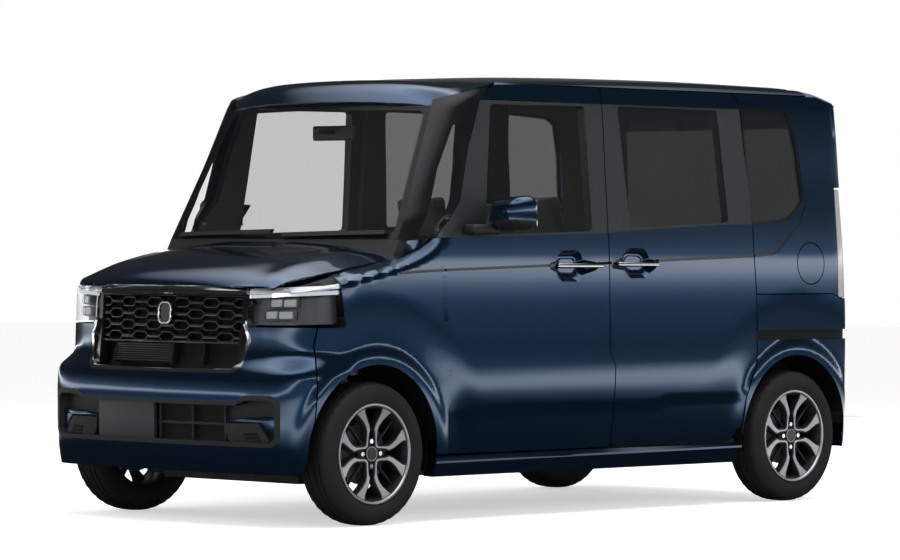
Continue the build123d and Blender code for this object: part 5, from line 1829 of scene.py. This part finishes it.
# %% The frame round the grille
ledges = long_strip(-400, 400, 699, 708, 12)
ledges += long_strip(-MESH_HALF - 6, MESH_HALF + 6, 880, 889, 12)
on_nose("grille_ledge", patches(ledges, (), 14, 40, 1.5), gloss_black)
cheek = (
    (MESH_HALF - 6, 889), (MESH_HALF + 22, 889), (MESH_HALF + 22, 778), (452, 724), (424, 622),
    (388, 612), (MESH_HALF - 14, 700), (MESH_HALF - 6, 780),
)
on_nose("grille_cheeks", patches(each_side([cheek]), (), 16, 44, 2), gloss_black)
SLAT_HALF, POST_HALF = 2.6, 5
slats = []
for z in np.linspace(628, 690, 8):
    slats += long_strip(-306, 34, z - SLAT_HALF, z + SLAT_HALF, 4)
on_nose("grille_slats", patches(slats, (), 26, 20, 1.2), film_grey)
posts = [box_outline(x - POST_HALF, 616, x + POST_HALF, 700) for x in (-311, 39, 208, 392)]
on_nose("grille_posts", patches(posts, (), 28, 30, 1.2), dark_plastic_and_shade)
for name, low, high, inward in (("top_bar", 904, 924, 4), ("top_bar_lower", 889, 902, 9)):
    bm = patches(long_strip(-432, 432, low, high, 24), (), inward, 20, 2.5)
    on_nose(f"grille_{name}", bm, chrome, "grille_trim")


def between(p, q, share):
    """A point on the way from one to another."""
    return (p[0] + (q[0] - p[0]) * share, p[1] + (q[1] - p[1]) * share)


def channel(outer, inner, pieces):
    """Quads between two broken lines with as many points."""
    quads = []
    for (a, b), (c, d) in zip(zip(outer, outer[1:]), zip(inner, inner[1:])):
        for k in range(pieces):
            s, t = k / pieces, (k + 1) / pieces
            quads.append((between(a, b, s), between(a, b, t), between(c, d, t), between(c, d, s)))
    return quads


mouth_outer = both_halves([(440, 790), (471, 722), (456, 655), (441, 612), (400, 588), (0, 583)])
mouth_inner = both_halves([(424, 786), (449, 722), (437, 662), (424, 626), (392, 605), (0, 601)])
for line in (mouth_outer, mouth_inner):
    line.pop(len(line) // 2)  # the middle stands there twice
bm = patches(channel(mouth_outer, mouth_inner, 5), (), 1, 22, 3)
on_nose("mouth_channel", bm, chrome, "grille_trim")

# A plain ring in the badge's place
BADGE_Z, BADGE_SIZE, BADGE_SQUARENESS = 816, (38, 42), 0.18
badge = []
for angle in np.linspace(0, 2 * pi, 33)[:-1]:
    swell = (1 - BADGE_SQUARENESS * abs(sin(2 * angle))) ** -1
    x, z = BADGE_SIZE[0] * cos(angle) * swell, BADGE_SIZE[1] * sin(angle) * swell
    badge.append((x, BADGE_Z + z))
badge_in = [(x * 0.8, BADGE_Z + (z - BADGE_Z) * 0.82) for x, z in badge]
on_nose("badge_ring", patches([], [(badge, badge_in)], 6, 10, 1.5), chrome, "grille_trim")
on_nose("badge_face", patches([badge_in], (), 12, 6), gloss_black, "grille_trim")
print("grille is in place")

# %% Lower intake, plate holder and sills
inner_mouth = ((430, 466), (480, 486), (596, 488), (618, 474), (618, 346), (598, 326))
inner_radii = [12, 12, 14, 16, 16, 14]
intake_hole = rounded(nose_points(both_halves(inner_mouth)), inner_radii + inner_radii[::-1])
bm = lay_on(sheet(intake_rim, 24, [intake_hole]), skin, -2)
on_nose("intake_frame", thicken(bm, 46), black_plastic, "front_bumper")
bm = lay_on(sheet(intake_rim, 40), skin, 40)
on_nose("intake_backing", thicken(bm, 4), black_plastic)
scoop = ((368, 398), (532, 400), (560, 368), (586, 330), (560, 322), (388, 322), (372, 360))
blade_top = ((376, 408), (470, 420), (616, 428), (616, 404), (540, 404), (376, 402))
blade_side = ((540, 404), (616, 404), (616, 346), (602, 330), (592, 331), (566, 372))
# The slits are dark patches laid 1 mm before the scoops: painted shade for their openings
SLIT = ((462, 362), (526, 364), (530, 354), (466, 352))
SLIT_RIGHT, SLIT_DOWN = 8, 15  # from each slit to the next
slit_shades = [
    [(x + k * SLIT_RIGHT, z - k * SLIT_DOWN) for x, z in SLIT] for k in range(3)
]
crate = long_strip(-2, 366, 388, 398, 6)
crate += [box_outline(x - POST_HALF, 320, x + POST_HALF, 462) for x in (10, 190, 360)]
# Near-black sheets in the crate's openings, just before its backing: painted shade for the depth
# of the openings
shade_sheets = [
    box_outline(x_from, z_from, x_to, z_to)
    for z_from, z_to in ((322, 386), (400, 462)) for x_from, x_to in ((16, 184), (196, 354))
]
INTAKE_PARTS = (  # name, outlines, inward, wall, bevel, material, node
    ("intake_crate", crate, 22, 18, 1.5, black_plastic, "grille"),
    ("intake_hollows", shade_sheets, 38, 2, 0, dark_plastic_and_shade, "grille"),
    ("intake_scoops", each_side([scoop]), 14, 26, 5, black_plastic, "grille"),
    ("intake_blades", each_side([blade_top, blade_side]), 20, 20, 3, paint, "grille"),
    ("intake_slits", each_side(slit_shades), 13, 3, 0, dark_plastic_and_shade, "grille"),
    ("plate_blank", [box_outline(-344, 312, -6, 478)], 4, 14, 2, film_grey, "plate_bracket"),
)
for name, outlines, inward, wall, bevel, material, node in INTAKE_PARTS:
    on_nose(name, patches(outlines, (), inward, wall, bevel), material, node)
print("intake is in place")


# %% Sills


def lofted(sections):
    """A closed solid through sections with as many points each."""
    bm = bmesh.new()
    rings = [[bm.verts.new(p) for p in section] for section in sections]
    for one, two in zip(rings, rings[1:]):
        for a in range(len(one)):
            b = (a + 1) % len(one)
            bm.faces.new((one[a], one[b], two[b], two[a]))
    bm.faces.new(rings[0])
    bm.faces.new(list(reversed(rings[-1])))
    bmesh.ops.recalc_face_normals(bm, faces=bm.faces)
    return bm


def sill_section(y):
    """The sill's section: a blade that grows towards the rear."""
    t = (y - SILL_FRONT_Y) / (SILL_REAR_Y - SILL_FRONT_Y)
    top, blade, reach = 256 + 3 * t, 232 + 10 * t, 712 + 16 * ease(0.2, 1.0, t)
    points = (
        (640, 178), (690, 176), (700, 196), (704, blade - 12), (reach, blade - 3),
        (reach, blade + 5), (708, top), (640, top),
    )
    return [(x, y, z) for x, z in points]


SILL_FRONT_Y, SILL_REAR_Y, SILL_SECTIONS = -858, 962, 27
for side in HAND:
    bm = lofted([sill_section(y) for y in np.linspace(SILL_FRONT_Y, SILL_REAR_Y, SILL_SECTIONS)])
    piece("sill_{}", bm, paint, "root", ("side_sills",), 25, side=side)
    bm = rounded_block((40, 790, 40), (668, 565, 256), 4)
    piece("door_seal_{}", bm, rubber, "root", side=side)
print("sills are in place")

# %% [markdown]
# ## Tail
# The tailgate carries a painted lower half, a dark window and a spoiler over it. Tall
# lamps stand on both corners.

# %% Tailgate, spoiler and tail lamps
def tail_points(points):
    """Rear-view points (x, z) as (outline distance, z); the right half runs on past the middle."""
    out = []
    for x, z in points:
        u = tail_u(abs(x))
        out.append((u if x >= 0 else 2 * OUTLINE_END - u, z))
    return out


def tail_skin(u, z):
    """The skin near the tail, also past its middle."""
    past = u > OUTLINE_END
    points = skin(np.where(past, 2 * OUTLINE_END - u, u), z)
    points[..., 0] = np.where(past, -points[..., 0], points[..., 0])
    return points


def tail_shell(half, step, inward, wall, corner=0, holes=()):
    """A panel of the tail with a wall, from the left half of its outline."""
    outline = rounded(tail_points(both_halves(half)), corner)
    return thicken(lay_on(sheet(outline, step, holes), tail_skin, inward), wall, TAIL_MIDDLE)


tail_window = rounded(tail_points(both_halves([(545, 1150), (508, 1596)])), 26)
bm = tail_shell([(620, 566), (620, 1688)], 26, 0, 30, holes=[tail_window])
piece("tailgate_panel", bm, paint, "tailgate", ("tailgate",))
bm = tail_shell([(566, 1128), (520, 1622)], 40, -1, 5, 30)
piece("tailgate_pane", bm, privacy_glass, "tailgate", ("tailgate_glass",))


def spoiler_section(x):
    """The spoiler at a place across the car: a wedge that follows the roof."""
    fall = float(roof_surface(np.float64(x), np.float64(ROOF_END_Y))[2]) - SPOILER_TOP_Z
    return [(x, y, z + fall * (1 if z > UPPER_FACE_Z else 0.35)) for y, z in SPOILER_SIDE]


ROOF_END_Y, SPOILER_TOP_Z, UPPER_FACE_Z = 1420.0, 1748, 1696
SPOILER_SIDE = (
    (1424, 1746), (1500, 1738), (1575, 1722), (1640, 1704), (1657, 1697), (1661, 1688),
    (1657, 1668), (1640, 1662), (1600, 1672), (1500, 1692), (1424, 1692),
)
bm = lofted([spoiler_section(x) for x in np.linspace(-640, 640, 25)])
piece("spoiler_wing", bm, paint, "tailgate", ("roof_spoiler",), 30)
print("tailgate and spoiler are in place")

# %% Tail lamps, rail covers and the step under the tailgate
lamp_edge = [(LAMP_U, 864), (LAMP_U, 1327), (EDGE_U - 3, 1327), (EDGE_U - 3, 864)]
clear_part = [(LAMP_U, 866), (LAMP_U, 1325), (LAMP_U + 34, 1325), (LAMP_U + 40, 866)]
RAIL_FROM_U, RAIL_TO_U = along(1062), EDGE_U + 6
rail_slot = [(RAIL_FROM_U, 683), (RAIL_FROM_U, 733), (RAIL_TO_U, 733), (RAIL_TO_U, 683)]
TAIL_PARTS = (  # name, outline, step, inward, wall, material, node
    ("tail_lamp_red_{}", rounded(lamp_edge, 10), 22, 3, 22, tail_red, "tail_lamps"),
    ("tail_lamp_clear_{}", rounded(clear_part, 10), 22, -1, 8, tail_clear, "tail_lamps"),
    ("slide_rail_{}", rail_slot, 40, 9, 4, dark_plastic_and_shade, "body_sides"),
)
for side in HAND:
    for name, outline, step, inward, wall, material, node in TAIL_PARTS:
        round_panel(
            name, outline, wall, material, "root", (node,), step=step, side=side, inward=inward
        )
bm = tail_shell([(612, 550), (612, 608)], 40, 36, 30)
join(bm, tail_shell([(616, 500), (616, 558)], 40, 7, 70))
piece("tail_sill", bm, dark_plastic_and_shade, "root")
print("tail lamps are in place")

# %% Painted shade at the bottom of the belt groove
# The groove is pressed in the painted sheet; the gloss black ribbon 4 mm inside the skin along its
# bottom is painted shade for the groove's shadow
RIBBON_HALF, RIBBON_SINK, RIBBON_STEP = 7, 4, 30
GROOVE_SHADE_RIBBONS = (  # name, from and to along the flank, body
    ("belt_wing_{}", -1080, -834, "root"),
    ("belt_door_{}", -820, -200, "front_door_{}"),
    ("belt_slide_{}", 430, 1036, "root"),
    ("belt_quarter_{}", 1046, 1380, "root"),
)
groove_y, groove_z = zip(*BELT_GROOVE)
for name, y_from, y_to, body in GROOVE_SHADE_RIBBONS:
    middle = np.linspace(y_from, y_to, 2 + int((y_to - y_from) / RIBBON_STEP))
    path = [(y, float(np.interp(y, groove_y, groove_z))) for y in middle]
    for side in HAND:
        bm = bmesh.new()
        lines = []
        for gap in (-RIBBON_HALF, 0, RIBBON_HALF):
            row = np.array(wrapped(beside(path, gap)))
            base = skin(row[:, 0], row[:, 1]) - (RIBBON_SINK, 0, 0)
            lines.append([bm.verts.new(point) for point in base])
        for low, high in zip(lines, lines[1:]):
            for a in range(len(low) - 1):
                bm.faces.new((low[a], low[a + 1], high[a + 1], high[a]))
        piece(name, point_outwards(bm), gloss_black, body, side=side)
print("belt ribbons:", len(GROOVE_SHADE_RIBBONS) * len(HAND))

# %% [markdown]
# ## The cabin
# The seats are padded cushions with side bolsters and sewn channels, on moulded plinths.
# The steering wheel has a leather rim, and the mirror hangs from the screen.

# %% Seats
SQUARENESS = 7  # of a cushion's corners
WAIST, WELT_DEPTH, CHANNEL_DEPTH = 9, 9, 7


def cushion(half, place, lean, channels, bolster, cuts=26, crown=12):
    """A crowned cushion whose sides pull in between its corners, with channels across it."""
    bm = bmesh.new()
    bmesh.ops.create_cube(bm, size=2)
    bmesh.ops.subdivide_edges(bm, edges=list(bm.edges), cuts=cuts, use_grid_fill=True)
    flat = np.array([v.co[:] for v in bm.verts])
    power = np.where(np.abs(flat) > 1e-6, np.abs(flat), 1e-6) ** SQUARENESS
    x, y, z = (flat / power.sum(axis=1, keepdims=True) ** (1 / SQUARENESS)).T
    pulled_x = x * (half[0] - WAIST * (1 - y**2) * np.abs(x) ** 3)
    pulled_y = y * (half[1] - WAIST * (1 - x**2) * np.abs(y) ** 3)
    rise = crown * (1 - x**4) * (1 - y**4)
    if bolster:
        rise = rise + bolster * np.exp(-(((np.abs(x) - 0.80) / 0.14) ** 2)) * (1 - y**6)
        rise = rise - WELT_DEPTH * np.exp(-(((np.abs(x) - 0.60) / 0.03) ** 2)) * (1 - y**8)
    between_welts = np.clip((0.62 - np.abs(x)) / 0.05, 0, 1)
    for place_y in channels:
        rise = rise - CHANNEL_DEPTH * np.exp(-(((y - place_y) / 0.035) ** 2)) * between_welts
    raised = z * half[2] + np.where(z > 0, rise * np.clip(z * 1.6, 0, 1), 0)
    turn_up = Matrix.Rotation(radians(lean), 3, "X")
    for vert, co in zip(bm.verts, np.stack([pulled_x, pulled_y, raised], axis=-1)):
        vert.co = turn_up @ Vector(co) + Vector(place)
    return bm


def soft_piece(name, bm, stands_for):
    """A padded piece in seat cloth."""
    return piece(name, bm, seat_cloth, "root", stands_for, 80)


def headrest_post(x):
    """A steel post of a headrest, leaning with the seat's back."""
    rod = turn_shape(turn_shape(disc(6, -40, 40, 16), pi / 2, "Y"), radians(-12), "X")
    bmesh.ops.translate(rod, verts=rod.verts, vec=(x, 108, 1118))
    return rod


SEAT_X, REAR_SEAT_X, POST_X = 330, 256, 60
for side, hand in HAND.items():
    x = side * SEAT_X
    for name, bm in (
        ("seat_cushion", cushion((228, 245, 62), (x, -258, 528), 3, (-0.45, 0.05, 0.5), 16)),
        ("seat_back", cushion((226, 282, 50), (x, 52, 830), 102, (-0.5, -0.1, 0.35), 18)),
        ("headrest", cushion((118, 84, 40), (x, 125, 1200), 102, (), 0, 16, 8)),
    ):
        soft_piece(f"{name}_{hand}", bm, ("front_seats",))
    bm = rounded_block((380, 420, 270), (x, -255, 336), 20)
    for post_x in (-POST_X, POST_X):
        join(bm, headrest_post(x + post_x))
    piece(f"seat_plinth_{hand}", bm, cabin_plastic, "root", ("front_seats",))
for side, hand in HAND.items():
    x = side * REAR_SEAT_X
    for name, bm in (
        ("rear_cushion", cushion((248, 236, 58), (x, 800, 532), 2, (-0.4, 0.1, 0.55), 10)),
        ("rear_back", cushion((248, 280, 50), (x, 1090, 860), 104, (-0.5, -0.1, 0.35), 12)),
    ):
        soft_piece(f"{name}_{hand}", bm, ("rear_seat",))
bm = rounded_block((960, 440, 170), (0, 800, 395), 20)
piece("rear_plinth", bm, cabin_plastic, "root", ("rear_seat",))
print("seats are in place")

# %% Steering wheel and inner mirror
WHEEL_PLACE, COLUMN_LEAN = Vector((-330, -530, 900)), radians(24)
RIM_RADIUS, GRIP_RADIUS = 172, 15
to_wheel = Matrix.Translation(WHEEL_PLACE) @ Matrix.Rotation(COLUMN_LEAN - pi / 2, 4, "X")
grip = arc_points((0, RIM_RADIUS), GRIP_RADIUS, 0, 360, 16)[:-1]
rim = turn_shape(turned(grip, 72), pi / 2, "Y")
hub = rounded_block((120, 100, 26), (0, 8, 2), 11)
for size, place in (
    ((116, 30, 14), (110, 0, 0)), ((116, 30, 14), (-110, 0, 0)), ((30, 116, 14), (0, 108, 0))
):
    join(hub, rounded_block(size, place, 6))
join(hub, rounded_block((46, 46, 88), (0, 0, -52), 10))
for name, bm, material in (("steering_rim", rim, leather), ("steering_hub", hub, cabin_plastic)):
    bmesh.ops.transform(bm, verts=bm.verts, matrix=to_wheel)
    piece(name, bm, material, "steering_wheel", ("steering_wheel",))
bm = rounded_block((240, 20, 60), (0, -725, 1530), 9)
join(bm, rounded_block((24, 96, 18), (0, -778, 1536), 5))
piece("cabin_mirror", bm, black_plastic, "root", ("inner_mirror",))
bm = rounded_block((226, 2, 48), (0, -714.2, 1530), 0.8, 2)
piece("cabin_mirror_face", bm, mirror_glass, "root", ("inner_mirror",))
print("steering wheel and inner mirror are in place")

# %% Finishes of the pieces that keep their shape
FINISH_OF = {
    "dashboard": cabin_plastic, "cowl": black_plastic, "wipers": black_plastic,
    "arch_liners": dark_plastic_and_shade,
    "floor_pan": steel_dark, "engine": cast_metal, "exhaust": bare_steel,
    "fuel_tank": black_plastic,
    "front_suspension": steel_dark, "rear_suspension": steel_dark, "knuckle_left": cast_metal,
    "knuckle_right": cast_metal,
}
for node, material in FINISH_OF.items():
    for place in bpy.data.objects[node].material_slots:
        place.material = material
print("cabin and underbody are finished")

# %% Sizes of the construction and of the scene
size = {
    "cad_box": [list(map(float, corner)) for corner in cad_box],
    "visual_box": [list(map(float, corner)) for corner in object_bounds()],
}
